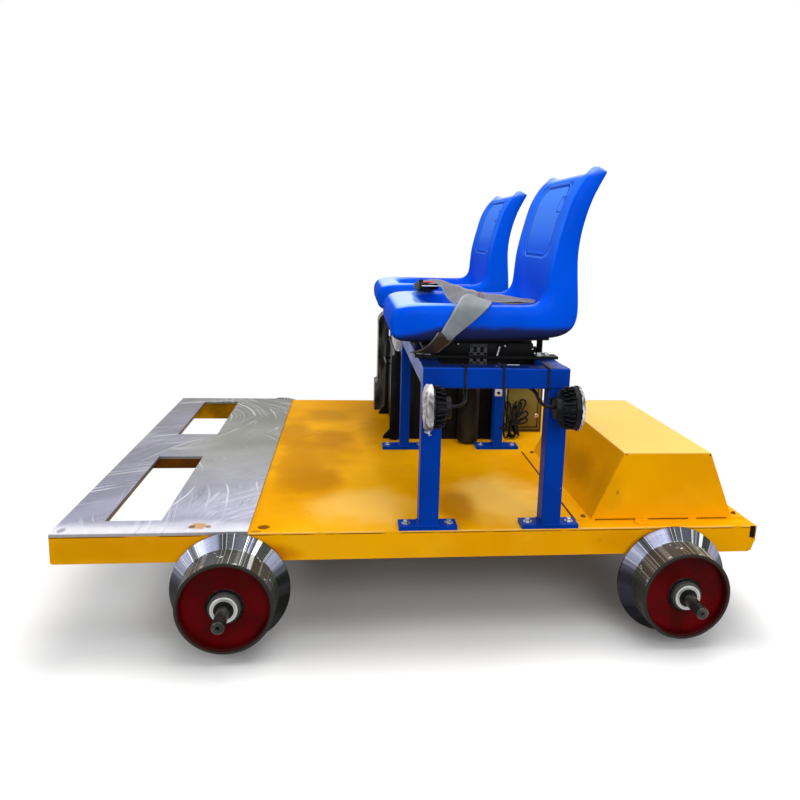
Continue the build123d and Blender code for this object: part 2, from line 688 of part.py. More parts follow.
# Spare cable, folded into a loose hank that leans against the control box. The outline
# is on the leaning plane, as (along X, up the lean) from the foot of the hank.
HANK_FOOT = (1195.0, 760.0)
HANK_LEAN = (0.0, 90.0, 125.0)
HANK_THICK = 22.0
HANK_OUTLINE = (
    (-4.0, 10.0),
    (-6.0, 34.0),
    (1.0, 70.0),
    (2.0, 128.0),
    (9.0, 145.0),
    (20.0, 146.0),
    (34.0, 120.0),
    (50.0, 147.0),
    (62.0, 152.0),
    (76.0, 149.0),
    (86.0, 132.0),
    (87.0, 100.0),
    (78.0, 68.0),
    (48.0, 46.0),
    (44.0, 14.0),
    (28.0, 9.0),
)
hank_origin = Vector(st(HANK_FOOT[0]), of(HANK_FOOT[1]), up(0))
hank_normal = Vector(1, 0, 0).cross(Vector(*HANK_LEAN))
with BuildPart() as cable_hank:
    with BuildSketch(Plane(origin=hank_origin, x_dir=(1, 0, 0), z_dir=hank_normal)):
        with BuildLine():
            Polyline(*HANK_OUTLINE, close=True)
        make_face()
    extrude(amount=HANK_THICK / 2, both=True)
cable_hank.part.label = "cable_hank"
export_step(cable_hank.part, "parts/cable_hank.step")

# Round bundle in black wrapping that stands by the power pack.
with BuildPart() as wrapped_bundle:
    with Locations((st(1052), of(729), up(100))):
        Cylinder(36, 200)
    fillet(wrapped_bundle.edges(), radius=18)
wrapped_bundle.part.label = "wrapped_bundle"
export_step(wrapped_bundle.part, "parts/wrapped_bundle.step")
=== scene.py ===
import json
import math

import bmesh
import bpy
from mathutils import Matrix, Vector, noise


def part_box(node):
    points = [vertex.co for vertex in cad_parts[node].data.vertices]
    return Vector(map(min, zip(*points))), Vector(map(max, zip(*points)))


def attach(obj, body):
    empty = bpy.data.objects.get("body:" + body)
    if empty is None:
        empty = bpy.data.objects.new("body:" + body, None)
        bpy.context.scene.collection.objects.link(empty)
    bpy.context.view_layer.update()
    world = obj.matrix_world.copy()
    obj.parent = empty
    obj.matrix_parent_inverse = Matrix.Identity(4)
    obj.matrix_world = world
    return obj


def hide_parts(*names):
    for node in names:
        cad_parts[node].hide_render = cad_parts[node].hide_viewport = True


# A motorised rail trolley with two moulded seats. Metres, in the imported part's frame:
# +X runs from the front plate to the motor cover, +Y from the near side to the far side,
# +Z up, with the origin on the floor under the middle of the trolley.

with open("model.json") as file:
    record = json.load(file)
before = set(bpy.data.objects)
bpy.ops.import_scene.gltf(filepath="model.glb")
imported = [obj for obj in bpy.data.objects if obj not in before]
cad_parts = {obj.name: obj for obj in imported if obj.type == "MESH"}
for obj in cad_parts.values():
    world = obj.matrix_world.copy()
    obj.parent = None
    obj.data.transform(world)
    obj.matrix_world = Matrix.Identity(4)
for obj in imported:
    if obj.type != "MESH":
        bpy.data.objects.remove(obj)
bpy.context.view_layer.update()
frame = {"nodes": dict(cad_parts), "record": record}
NODES = frame["nodes"]

# ---- places read from the frame ---------------------------------------------------------
PLATE_LOW, PLATE_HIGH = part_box("front_plate")
DECK_LOW, DECK_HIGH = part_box("deck_sheet")
FRONT_EDGE = PLATE_LOW.x
NEAR_EDGE = DECK_LOW.y
DECK_TOP = DECK_HIGH.z
DECK_HALF = -NEAR_EDGE
AXLES = {end: (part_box(f"{end}_axle")[0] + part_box(f"{end}_axle")[1]) / 2 for end in ("front", "rear")}


def place(station, offset, height):
    """A point from millimetres behind the front edge, in from the near edge and above the deck."""
    return Vector((FRONT_EDGE + station / 1000, NEAR_EDGE + offset / 1000, DECK_TOP + height / 1000))


# ---- material building -------------------------------------------------------------------
def rgb(*levels):
    """A colour from red, green and blue levels of 0 to 255, as they show on a screen."""
    linear = [((level / 255 + 0.055) / 1.055) ** 2.4 if level > 10 else level / 3295 for level in levels]
    return (*linear, 1.0)


class Socket:
    """One output in a node tree. Arithmetic on it adds Math nodes."""

    def __init__(self, nodes, output):
        self.nodes = nodes
        self.output = output

    def math(self, operation, *others):
        return self.nodes.node("ShaderNodeMath", {"operation": operation}, dict(enumerate((self, *others))))

    def __add__(self, other):
        return self.math("ADD", other)

    def __sub__(self, other):
        return self.math("SUBTRACT", other)

    def __rsub__(self, other):
        return self.math("MULTIPLY", -1.0).math("ADD", other)

    def __mul__(self, other):
        return self.math("MULTIPLY", other)

    def __truediv__(self, other):
        return self.math("DIVIDE", other)

    def __gt__(self, other):
        return self.math("GREATER_THAN", other)

    def __lt__(self, other):
        return self.math("LESS_THAN", other)

    __radd__ = __add__
    __rmul__ = __mul__


class Nodes:
    """The node tree of a material or a world, and the one call that adds a node to it."""

    def __init__(self, owner):
        owner.use_nodes = True
        self.tree = owner.node_tree

    def node(self, kind, settings=None, inputs=None, output=0):
        node = self.tree.nodes.new(kind)
        for name, value in (settings or {}).items():
            setattr(node, name, value)
        for name, value in (inputs or {}).items():
            self.feed(node.inputs[name], value)
        return Socket(self, node.outputs[output])

    def feed(self, target, value):
        if isinstance(value, Socket):
            self.tree.links.new(value.output, target)
        else:
            target.default_value = value

    def seen(self):
        """1 for rays from the camera, gloss and glass, and 0 for the rays that carry light."""
        kinds = ("Is Camera Ray", "Is Glossy Ray", "Is Transmission Ray")
        rays = [self.node("ShaderNodeLightPath", output=kind) for kind in kinds]
        return (rays[0] + rays[1] + rays[2]).math("MINIMUM", 1.0)


class Surface(Nodes):
    """A material and the nodes that make its finish."""

    def __init__(self, name):
        self.material = bpy.data.materials.new(name)
        super().__init__(self.material)
        self.shader = self.tree.nodes["Principled BSDF"]
        self.coords = self.node("ShaderNodeTexCoord", output="Object")

    def mapped(self, scale=(1, 1, 1), location=(0, 0, 0), rotation=(0, 0, 0)):
        """The piece's own coordinates, moved, turned and stretched."""
        inputs = {"Vector": self.coords, "Location": location, "Rotation": rotation, "Scale": scale}
        return self.node("ShaderNodeMapping", None, inputs)

    def axis(self, letter, source=None):
        return self.node("ShaderNodeSeparateXYZ", None, {0: source or self.coords}, letter)

    def noise(self, scale, detail=4.0, rough=0.5, source=None):
        inputs = {"Vector": source or self.coords, "Scale": scale, "Detail": detail, "Roughness": rough}
        return self.node("ShaderNodeTexNoise", None, inputs)

    def ramp(self, value, low, high):
        """0 below low and 1 above high, with a smooth step between them."""
        inputs = {"Value": value, "From Min": low, "From Max": high}
        return self.node("ShaderNodeMapRange", {"interpolation_type": "SMOOTHSTEP"}, inputs)

    def cloud(self, scale, detail=5.0, rough=0.5):
        return self.ramp(self.noise(scale, detail, rough), 0.35, 0.7)

    def mix(self, share, first, second):
        """A colour between first and second, which are sockets, or three screen levels, or
        four values as the shader takes them."""
        pair = [rgb(*one) if isinstance(one, tuple) and len(one) == 3 else one for one in (first, second)]
        return self.node("ShaderNodeMix", {"data_type": "RGBA"}, {0: share, 6: pair[0], 7: pair[1]}, 2)

    def over(self, colour, *coats):
        """The colour with coats over it, each as (how much of it shows, its colour)."""
        for share, coat in coats:
            colour = self.mix(share, colour, coat)
        return colour

    def marked(self, colour, marks):
        """The colour with spots over it, each as (place, half sizes, colour, strength)."""
        coats = [(self.spot(at, sizes) * strength, shade) for at, sizes, shade, strength in marks]
        return self.over(colour, *coats)

    def length(self, vector):
        return self.node("ShaderNodeVectorMath", {"operation": "LENGTH"}, {0: vector}, 1)

    def join(self, x, y, z):
        return self.node("ShaderNodeCombineXYZ", None, {0: x, 1: y, 2: z})

    def spot(self, at, sizes):
        """1 inside an ellipsoid round a place on the deck and 0 outside, with half sizes in
        millimetres. A small one has a sharp ragged edge and a large one a wide soft edge."""
        scales = [1000 / size for size in sizes]
        shift = [-along * scale for along, scale in zip(place(*at), scales)]
        away = self.length(self.mapped(scale=scales, location=shift))
        soft = min(max(sizes) / 75, 1.0)
        ragged = (self.noise(70 - 62 * soft, 5, 0.6) - 0.5) * (0.9 + soft * 0.3)
        return self.ramp(away + ragged, 1.0 + 0.25 * soft, 0.8 - 0.45 * soft)

    def bump(self, height, distance):
        """A normal from a height that runs from 0 to 1 over distance, in metres."""
        return self.node("ShaderNodeBump", None, {"Distance": distance, "Height": height})

    def finish(self, **values):
        """Sets the shader's sockets, with underscores for the spaces in their names."""
        for name, value in values.items():
            self.feed(self.shader.inputs[name.replace("_", " ")], value)
        return self.material


# ---- camera ------------------------------------------------------------------------------
CAMERA_PLACE = Vector((-0.18025, -2.26701, 0.94891))
CAMERA_YAW = -0.120965
CAMERA_PITCH = 0.175319
CAMERA_ROLL = 0.033628
CAMERA_LENS = 32.708
CAMERA_SHIFT = (-0.04337, -0.0466)
scene = bpy.context.scene
camera_data = bpy.data.cameras.new("camera")
camera_data.lens = CAMERA_LENS
camera_data.sensor_width = 36.0
camera_data.shift_x, camera_data.shift_y = CAMERA_SHIFT
camera = bpy.data.objects.new("camera", camera_data)
turn = (
    Matrix.Rotation(CAMERA_YAW, 4, "Z")
    @ Matrix.Rotation(math.pi / 2 - CAMERA_PITCH, 4, "X")
    @ Matrix.Rotation(CAMERA_ROLL, 4, "Z")
)
camera.matrix_world = Matrix.Translation(CAMERA_PLACE) @ turn
scene.collection.objects.link(camera)
scene.camera = camera
scene.view_settings.view_transform = "Standard"

# ---- shape building ------------------------------------------------------------------------
def smoothstep(low, high, value):
    share = min(max((value - low) / (high - low), 0.0), 1.0)
    return share * share * (3 - 2 * share)


def piece(name, bm, surface, replaces=(), flat_angle=None):
    """A finished piece of the chassis from a bmesh that is already in its place."""
    mesh = bpy.data.meshes.new(name)
    bm.to_mesh(mesh)
    bm.free()
    made = bpy.data.objects.new(name, mesh)
    scene.collection.objects.link(made)
    mesh.materials.append(surface)
    mesh.shade_smooth()
    if flat_angle is not None:
        mesh.set_sharp_from_angle(angle=math.radians(flat_angle))
    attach(made, "chassis")
    if replaces:
        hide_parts(*replaces)
    return made


def modify(made, kind, **settings):
    """Adds a modifier with these settings."""
    modifier = made.modifiers.new(kind.lower(), kind)
    for name, value in settings.items():
        setattr(modifier, name, value)


def eased(before, first, second, after, share):
    """A point between first and second on a smooth curve through all four."""
    bend = (2 * before - 5 * first + 4 * second - after) * share**2
    bend += (3 * first - before - 3 * second + after) * share**3
    return first + 0.5 * ((second - before) * share + bend)


WEBBING_WIDTH = 0.048


def grid_of_points(rows, weave=None):
    """A bmesh grid whose vertices are moved onto rows of points. weave gives each row's
    distance along the strip, and sets the pattern's coordinates, for a strap's width."""
    bm = bmesh.new()
    across, along = len(rows[0]), len(rows)
    bmesh.ops.create_grid(bm, x_segments=across - 1, y_segments=along - 1, size=1.0)
    spots = {}
    for vertex in bm.verts:
        column = round((vertex.co.x + 1) / 2 * (across - 1))
        row = round((vertex.co.y + 1) / 2 * (along - 1))
        vertex.co = rows[row][column]
        spots[vertex] = (row, column)
    if weave:
        layer = bm.loops.layers.uv.new("weave")
        for face in bm.faces:
            for loop in face.loops:
                row, column = spots[loop.vert]
                loop[layer].uv = (weave[row], WEBBING_WIDTH * (column / (across - 1) - 0.5))
    return bm


def round_edges(bm, edges, offset, segments):
    return bmesh.ops.bevel(
        bm, geom=edges, offset=offset, offset_type="OFFSET", segments=segments, profile=0.5, affect="EDGES",
        clamp_overlap=True, material=-1,
    )


def block_into(bm, centre, size, bevel, segments=2, turn=None):
    """A block with rounded edges, turned about its own middle."""
    corners = bmesh.ops.create_cube(bm, size=1.0)["verts"]
    bmesh.ops.scale(bm, vec=size, verts=corners)
    if turn:
        bmesh.ops.rotate(bm, cent=(0, 0, 0), matrix=turn, verts=corners)
    bmesh.ops.translate(bm, vec=centre, verts=corners)
    round_edges(bm, list({edge for corner in corners for edge in corner.link_edges}), bevel, segments)


def spin_into(bm, outline, origin, axis, steps=40):
    """A turned solid. outline is (distance along the axis, radius) in millimetres and starts
    and ends on the axis."""
    axis = Vector(axis).normalized()
    side = axis.orthogonal().normalized()
    verts = [bm.verts.new(origin + (axis * along + side * radius) / 1000) for along, radius in outline]
    line = verts + [bm.edges.new(pair) for pair in zip(verts, verts[1:])]
    bmesh.ops.spin(bm, geom=line, cent=origin, axis=axis, angle=math.tau, steps=steps, use_merge=True)


WASHER_THICK = 1.6


def bolt_into(bm, seat, axis, across, height, washer):
    """A hexagon head with a chamfer, on a round washer; sizes in millimetres."""
    thick, radius = WASHER_THICK, across * 0.62
    top = thick + height
    rings = ((-1, 0), (-1, washer), (thick - 0.5, washer), (thick, washer - 0.5), (thick, 0))
    spin_into(bm, rings, seat, axis, 28)
    spin_into(bm, ((1, 0), (1, radius), (top - 1, radius), (top, radius * 0.86), (top, 0)), seat, axis, 6)


def bead_into(bm, start, end, radius=2.6, pitch=3.2):
    """A weld bead along a joint, swelling at each ripple; sizes in millimetres."""
    run = end - start
    ripples = max(int(run.length * 1000 / pitch), 2)
    outline = [(0, 0)]
    for count in range(ripples * 2 + 1):
        along = run.length * 1000 * count / (ripples * 2)
        outline.append((along, radius * (1.0 if count % 2 else 0.78)))
    outline.append((run.length * 1000, 0))
    spin_into(bm, outline, start, run, 8)


def closed(bm):
    """Poles and seams merged, and faces pointing outwards."""
    bmesh.ops.remove_doubles(bm, verts=bm.verts, dist=0.000002)
    bmesh.ops.recalc_face_normals(bm, faces=bm.faces)
    return bm


SHARP_ANGLE = 35


def fittings(name, fill, slot, surface, flat_angle=SHARP_ANGLE, replaces=()):
    """One piece from a function that adds its parts to a bmesh."""
    bm = bmesh.new()
    fill(bm)
    return piece(name, closed(bm), surface, replaces, flat_angle)


# ---- seats -----------------------------------------------------------------------------------
# Each ring of the moulded shell is cut square to its side view: a point on the back or
# bottom, a point on the crest of the rim, a point on the hollow between the rims, how much
# of the full width it has, and how far the middle of its crest dips, in millimetres.
SEAT_RINGS = (
    (749, 455, 749.5, 494, 749.5, 494, 0.92, 0),
    (755, 442, 758, 508, 758, 508, 0.968, 0),
    (766, 434.5, 771, 516.5, 771, 516.5, 0.995, 0),
    (783, 431.5, 788, 521, 788, 521, 1, 0),
    (805, 432, 808, 523, 806, 522.5, 1, 0),
    (830, 433, 828, 524, 824, 520, 1, 0),
    (852, 434, 848, 524.5, 838, 511, 1, 0),
    (876, 434.5, 872, 525, 852, 496, 1, 0),
    (905, 435.5, 902, 525, 874, 486, 1, 0),
    (940, 436.5, 938, 525, 920, 482, 1, 0),
    (985, 438, 983, 525, 975, 480, 1, 0),
    (1030, 440, 1026, 525.5, 1028, 480, 1, 0),
    (1070, 441.5, 1057, 526, 1064, 482, 1, 0),
    (1105, 443, 1078, 526.5, 1088, 487, 1, 0),
    (1135, 445, 1092, 528.5, 1103, 495, 1, 0),
    (1158, 449, 1103, 533.5, 1113, 505, 1, 0),
    (1177, 457, 1111, 541, 1120, 517, 0.997, 0),
    (1191, 469, 1116, 551, 1124, 531, 0.993, 0),
    (1199, 485, 1118.5, 563, 1126.5, 547, 0.99, 0),
    (1202, 505, 1119.5, 577, 1127.5, 564, 0.987, 0),
    (1201.5, 530, 1120.5, 593, 1128, 583, 0.985, 0),
    (1199, 560, 1122, 612, 1129, 605, 0.984, 0),
    (1196, 592, 1123.5, 630, 1130, 626, 0.984, 0),
    (1194, 622, 1125.5, 643, 1130.5, 640.5, 0.985, 0),
    (1193.5, 630, 1126.5, 648, 1131.5, 645.5, 0.985, 0),
    (1193, 650, 1129, 662, 1133.5, 660, 0.986, 0),
    (1195, 680, 1134, 685, 1138, 685, 0.988, 0),
    (1200, 712, 1141, 712, 1144.5, 712, 0.99, 0),
    (1207, 740, 1147.5, 738, 1151, 738, 0.993, 0),
    (1214.5, 765, 1154.5, 762, 1158, 762, 0.996, 1),
    (1223, 788, 1163, 784, 1167, 784, 0.998, 2),
    (1231.5, 806, 1173, 803, 1177, 803, 1, 3),
    (1237.5, 818, 1182, 816.5, 1185.5, 816.5, 1, 4),
    (1239.5, 822, 1185, 820.5, 1187, 821, 1, 5),
    (1243, 829, 1193, 830, 1194, 828.5, 1, 6.5),
    (1246, 835, 1203, 840, 1202, 835, 0.998, 9),
    (1248, 839, 1211, 849, 1210, 839.5, 0.99, 11.5),
    (1247.5, 842, 1218, 854, 1217, 841.5, 0.98, 13.5),
)
SEAT_CENTRES = {"seat_near": 280.0, "seat_far": 1060.0}
# The far seat sits a little lower, and its back reaches less high.
SEAT_DROPS = {"seat_near": 0.0, "seat_far": 8.0}
BACK_DROP_SHARE = 0.9
# Where the painted shade on the underside begins at the front, and how far it rises over what run.
SEAT_FOOT = (771.0, 0.0, 446.0)
SEAT_RISE = 0.026
SEAT_RISE_RUN = 0.11
SEAT_NOSE = (747.5, 474)
SEAT_TIP = (1233, 850)
SEAT_TIP_DIP = 13.5
DIP_EDGES = (138, 178)
DIP_TILT = 1.05
# Columns of half a ring: distance from the middle, then how near it is to the hollow, or
# how far round from the crest to the back.
HOLLOW_COLUMNS = (
    (0, 1.0), (50, 1.0), (84, 0.99), (102, 0.97), (106, 0.965), (124, 0.93), (138, 0.86), (142.5, 0.78),
    (150, 0.52), (159, 0.22), (169, 0.04),
)
WALL_COLUMNS = (
    (181, 0.0), (191.5, 0.035), (198, 0.11), (200.5, 0.24), (201.5, 0.42), (201, 0.62), (199.5, 0.8),
    (195, 0.93), (184, 1.0), (150, 1.0), (110, 1.0), (70, 1.0), (35, 1.0), (0, 1.0),
)
# The raised border round the back panel, and a small pocket in its near side.
PANEL_RINGS = (23.5, 32.5)
PANEL_COLUMNS = 7
PANEL_DEPTH = 5.0
PANEL_CORNER_RINGS = {32: 0.9, 33: 0.9, 31: 0.975}
POCKET_RINGS = (28.4, 29.6)
POCKET_COLUMNS = range(4, 6)
POCKET_DEPTH = 5.0
EXTRA_RINGS = (28.25, 28.45, 29.55, 29.75)


def ring_at(where):
    """The seat's ring table at a whole or broken count, on a smooth curve through the table."""
    low = min(int(where), len(SEAT_RINGS) - 2)
    share = where - low
    rings = [SEAT_RINGS[min(max(low + count, 0), len(SEAT_RINGS) - 1)] for count in (-1, 0, 1, 2)]
    return [eased(*values, share) for values in zip(*rings)]


def crest_dip(dip, side, out):
    """How far the crest of the top edge hangs here, when its middle dips this far."""
    return dip * (1 - smoothstep(*DIP_EDGES, out)) * (1 - DIP_TILT * side * out / 200)


def seat_ring(where, side):
    """Half a ring, from the middle of the hollow out, over the rim and round to the back."""
    back_x, back_z, crest_x, crest_z, hollow_x, hollow_z, share, dip = ring_at(where)
    in_panel = PANEL_RINGS[0] < where < PANEL_RINGS[1]
    in_pocket = side < 0 and POCKET_RINGS[0] < where < POCKET_RINGS[1]
    points = []
    for count, (out, depth) in enumerate(HOLLOW_COLUMNS):
        lowered = crest_dip(dip, side, out)
        x = crest_x + (hollow_x - crest_x) * depth
        z = crest_z - lowered + (hollow_z - crest_z + lowered) * depth
        if in_panel and count < PANEL_COLUMNS:
            x += PANEL_DEPTH
        if in_pocket and count in POCKET_COLUMNS:
            x += POCKET_DEPTH
        if count in (PANEL_COLUMNS - 1, PANEL_COLUMNS):
            out *= PANEL_CORNER_RINGS.get(where, 1)
        points.append((x, side * out * share, z))
    for out, depth in WALL_COLUMNS:
        lowered = crest_dip(dip, side, out)
        x = crest_x + (back_x - crest_x) * depth
        z = crest_z + (back_z - crest_z) * depth - lowered
        points.append((x, side * out * share, z))
    return points


def closed_ring(point, share, dip, side):
    """Half a ring that is shut flat, so that the shell closes along one line."""
    count = len(HOLLOW_COLUMNS) + len(WALL_COLUMNS)
    points = []
    for column in range(count):
        pair = min(column, count - 1 - column)
        out = 197 * math.sin(math.pi / 2 * (pair / (count // 2))) ** 0.8
        lowered = crest_dip(dip, side, out)
        points.append((point[0], side * out * share, point[1] - lowered))
    return points


def seat_shell(name, centre):
    """A seat's moulded shell, of rings from its nose under the legs to the tip of its back."""
    wheres = sorted([*range(len(SEAT_RINGS)), *EXTRA_RINGS])
    halves = [[closed_ring(SEAT_NOSE, 0.885, 0, side) for side in (-1, 1)]]
    halves += [[seat_ring(where, side) for side in (-1, 1)] for where in wheres]
    halves.append([closed_ring(SEAT_TIP, 0.965, SEAT_TIP_DIP, side) for side in (-1, 1)])
    rows = []
    for near, far in halves:
        ring = []
        for x, y, z in near[::-1] + far[1:]:
            lowered = SEAT_DROPS[name] * (1 + BACK_DROP_SHARE * smoothstep(560, 850, z))
            ring.append(place(x, centre + y, z - lowered))
        rows.append(ring)
    bm = grid_of_points(rows)
    bmesh.ops.remove_doubles(bm, verts=bm.verts, dist=0.0002)
    bmesh.ops.recalc_face_normals(bm, faces=bm.faces)
    made = piece(f"{name}_shell", bm, seat_plastics[name], (name,))
    modify(made, "SUBSURF", levels=2, render_levels=2)

# ---- finishes --------------------------------------------------------------------------------
def yellow_paint(name, marks, bands=(), painted_top_highlight=None, shine=0.03):
    """Glossy enamel on sheet steel, clouded and lightly dented. Bands run across an axis, as
    (axis, from, to, colour, strength), and the pale top argument is (height, colour, strength),
    a painted highlight over the top."""
    s = Surface(name)
    cloud = s.ramp(s.noise(2.6, 6), 0.36, 0.66)
    brushed = s.ramp(s.noise(7, 5, 0.6, s.mapped((1.0, 0.35, 1.0))), 0.45, 0.78)
    dirt_and_shade = s.ramp(s.noise(21, 6, 0.65), 0.62, 0.8)
    colour = s.mix(cloud, (240, 170, 3), (224, 152, 2))
    colour = s.over(colour, (brushed * 0.4, (240, 177, 34)), (dirt_and_shade * 0.3, (176, 112, 8)))
    colour = s.marked(colour, marks)
    # The pale top is a painted highlight over everything above its height.
    if painted_top_highlight:
        height, shade, strength = painted_top_highlight
        colour = s.mix(s.ramp(s.axis("Z"), height - 0.002, height) * (strength - dirt_and_shade * 0.4), colour, shade)
    for letter, low, high, shade, strength in bands:
        along = s.axis(letter)
        inside = s.ramp(along, low - 0.0006, low) * s.ramp(along, high + 0.0006, high)
        colour = s.mix(inside * s.ramp(s.noise(19, 4), 0.3, 0.5) * strength, colour, shade)
    chips = s.ramp(s.noise(47, 5, 0.6), 0.752, 0.765)
    dents = s.noise(5.5, 3, 0.4)
    return s.finish(
        Base_Color=s.mix(chips, colour, (92, 56, 24)),
        Roughness=cloud * 0.1 + 0.3 + dirt_and_shade * 0.2,
        Normal=s.bump(s.noise(260, 2) * 0.02 + dents * 0.9 - chips * 0.05, 0.006),
        IOR=1.38,
        Specular_IOR_Level=shine,
        Specular_Tint=(1.0, 0.72, 0.25, 1.0),
    )


# Where the grinder swung from, how many strokes to a metre, a shift of the pattern, and whether
# the strokes lie ahead of the slots or behind them.
STROKE_CENTRES = (
    ((-330, 330), 92.0, 1.7, False), ((-260, 900), 84.0, 5.3, False), ((-480, 1250), 88.0, 9.1, False),
    ((-620, 60), 78.0, 13.9, False), ((560, -640), 96.0, 21.4, True), ((700, 300), 104.0, 27.2, True),
)
PLATE_MARKS = (
    ((316, 35, 3), (22, 22, 6), (196, 142, 70), 0.9),
    ((300, 30, 3), (9, 12, 6), (96, 70, 44), 0.9),
    ((338, 30, 3), (8, 10, 6), (110, 84, 56), 0.8),
    ((20, 20, 3), (10, 20, 6), (120, 120, 128), 0.7),
)


def ground_steel():
    """Bare plate with the long swirling strokes of a grinding disc. Each swing of the grinder
    leaves arcs about its own centre, in broken patches."""
    s = Surface("ground_steel")
    across = s.axis("Y")
    front = s.ramp(s.axis("X"), FRONT_EDGE + 0.26, FRONT_EDGE + 0.08)
    strokes, hollows = None, None
    wander = (s.noise(3.1, 2) - 0.5) * 0.06
    for centre, fine, seed, ahead in STROKE_CENTRES:
        middle = place(*centre, 0)
        radius = s.length(s.join(s.axis("X") - middle.x, across - middle.y, 0.0)) + wander
        arcs = s.noise(1.0, 2, 0.6, s.join(radius * fine, seed, 0.0))
        patch = s.ramp(s.noise(2.9, 2, 0.5, s.mapped(location=(seed, -seed, 0))), 0.46, 0.58)
        patch = patch * s.ramp(s.noise(8, 2, 0.5, s.mapped(location=(0, seed, seed))), 0.36, 0.54)
        patch = patch * (front if ahead else 1 - front)
        layer = s.ramp(arcs, 0.55, 0.68) * patch
        hollow = s.ramp(arcs, 0.44, 0.34) * patch
        strokes = layer if strokes is None else strokes.math("MAXIMUM", layer)
        hollows = hollow if hollows is None else hollows.math("MAXIMUM", hollow)
    hair = s.noise(1.0, 3, 0.7, s.join(s.axis("X") * 90, across * 900, 0.0))
    cloud = s.cloud(4.2)
    scratch = s.ramp(s.noise(60, 4, 0.7, s.mapped((1, 0.12, 1), rotation=(0, 0, 0.5))), 0.62, 0.7)
    # Towards the near edge the plate and its strokes are painted brighter, and beyond it darker, as painted
    # reflection; rim is a painted highlight along the near edge.
    near = s.ramp(across, NEAR_EDGE + 0.75, NEAR_EDGE)
    beyond = s.ramp(across, NEAR_EDGE + 0.7, NEAR_EDGE + 1.3)
    rim = s.ramp(across + s.noise(14, 4) * 0.05, NEAR_EDGE + 0.105, NEAR_EDGE + 0.04)
    dull = s.mix(cloud, (124, 124, 116), (150, 150, 142))
    bright = s.mix(cloud, (152, 151, 172), (186, 184, 206))
    colour = s.over(
        s.mix(near, dull, bright),
        (front * 0.75, s.mix(cloud, (122, 121, 140), (158, 156, 178))),
        (beyond * 0.55, (100, 100, 96)),
        (rim * (cloud * 0.35 + 0.5), (250, 249, 254)),
        (hollows * 0.3, (92, 93, 98)),
        (strokes * 0.8, s.mix(near, (196, 198, 196), (238, 237, 248))),
        (scratch * 0.4, (96, 96, 104)),
    )
    side = s.ramp(s.axis("Z"), PLATE_HIGH.z - 0.0012, PLATE_HIGH.z - 0.0022)
    return s.finish(
        Base_Color=s.mix(side * 0.7, s.marked(colour, PLATE_MARKS), (104, 106, 96)),
        Metallic=0.45,
        Roughness=0.44 - strokes * 0.14 + cloud * 0.08,
        Normal=s.bump(strokes * 0.6 + hair * 0.3, 0.0006),
        Specular_IOR_Level=0.3,
    )


def blue_paint():
    """Satin enamel on the seat frame, with painted shade on top of its rails under the seats."""
    s = Surface("blue_paint")
    cloud = s.cloud(6)
    rub = s.ramp(s.noise(34, 5, 0.65), 0.66, 0.74)
    chips = s.ramp(s.noise(70, 4, 0.6), 0.755, 0.765)
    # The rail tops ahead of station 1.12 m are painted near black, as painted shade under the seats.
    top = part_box("seat_rails_long")[1].z
    dust_and_shade = s.ramp(s.axis("Z"), top - 0.0009, top - 0.0003)
    dust_and_shade = dust_and_shade * s.ramp(s.axis("X"), FRONT_EDGE + 1.155, FRONT_EDGE + 1.12)
    return s.finish(
        Base_Color=s.over(
            s.mix(cloud, (0, 56, 158), (4, 48, 140)),
            (rub * 0.35, (40, 92, 176)),
            (chips, (120, 124, 134)),
            (dust_and_shade * 0.85, (6, 14, 40)),
        ),
        Roughness=cloud * 0.1 + 0.3,
        Normal=s.bump(s.noise(240, 2) * 0.03 + s.noise(14, 3) * 0.35 - chips * 0.06, 0.003),
        IOR=1.4,
        Specular_IOR_Level=0.1,
        Specular_Tint=(0.35, 0.55, 1.0, 1.0),
    )


def rounded_border(s, across, upright, half, height, corner):
    """Distance from the edge of a rounded rectangle, negative inside, in metres."""
    beside = (across.math("ABSOLUTE") - (half - corner)).math("MAXIMUM", 0.0)
    above = (upright.math("ABSOLUTE") - (height - corner)).math("MAXIMUM", 0.0)
    return s.length(s.join(beside, above, 0.0)) - corner


# Half width, half height and corner of the back panel's border and of the recess in it.
PANEL_BORDER = (0.118, 0.0865, 0.04)
RECESS_BORDER = (0.03, 0.018, 0.005)
PANEL_HEIGHT = 727.5


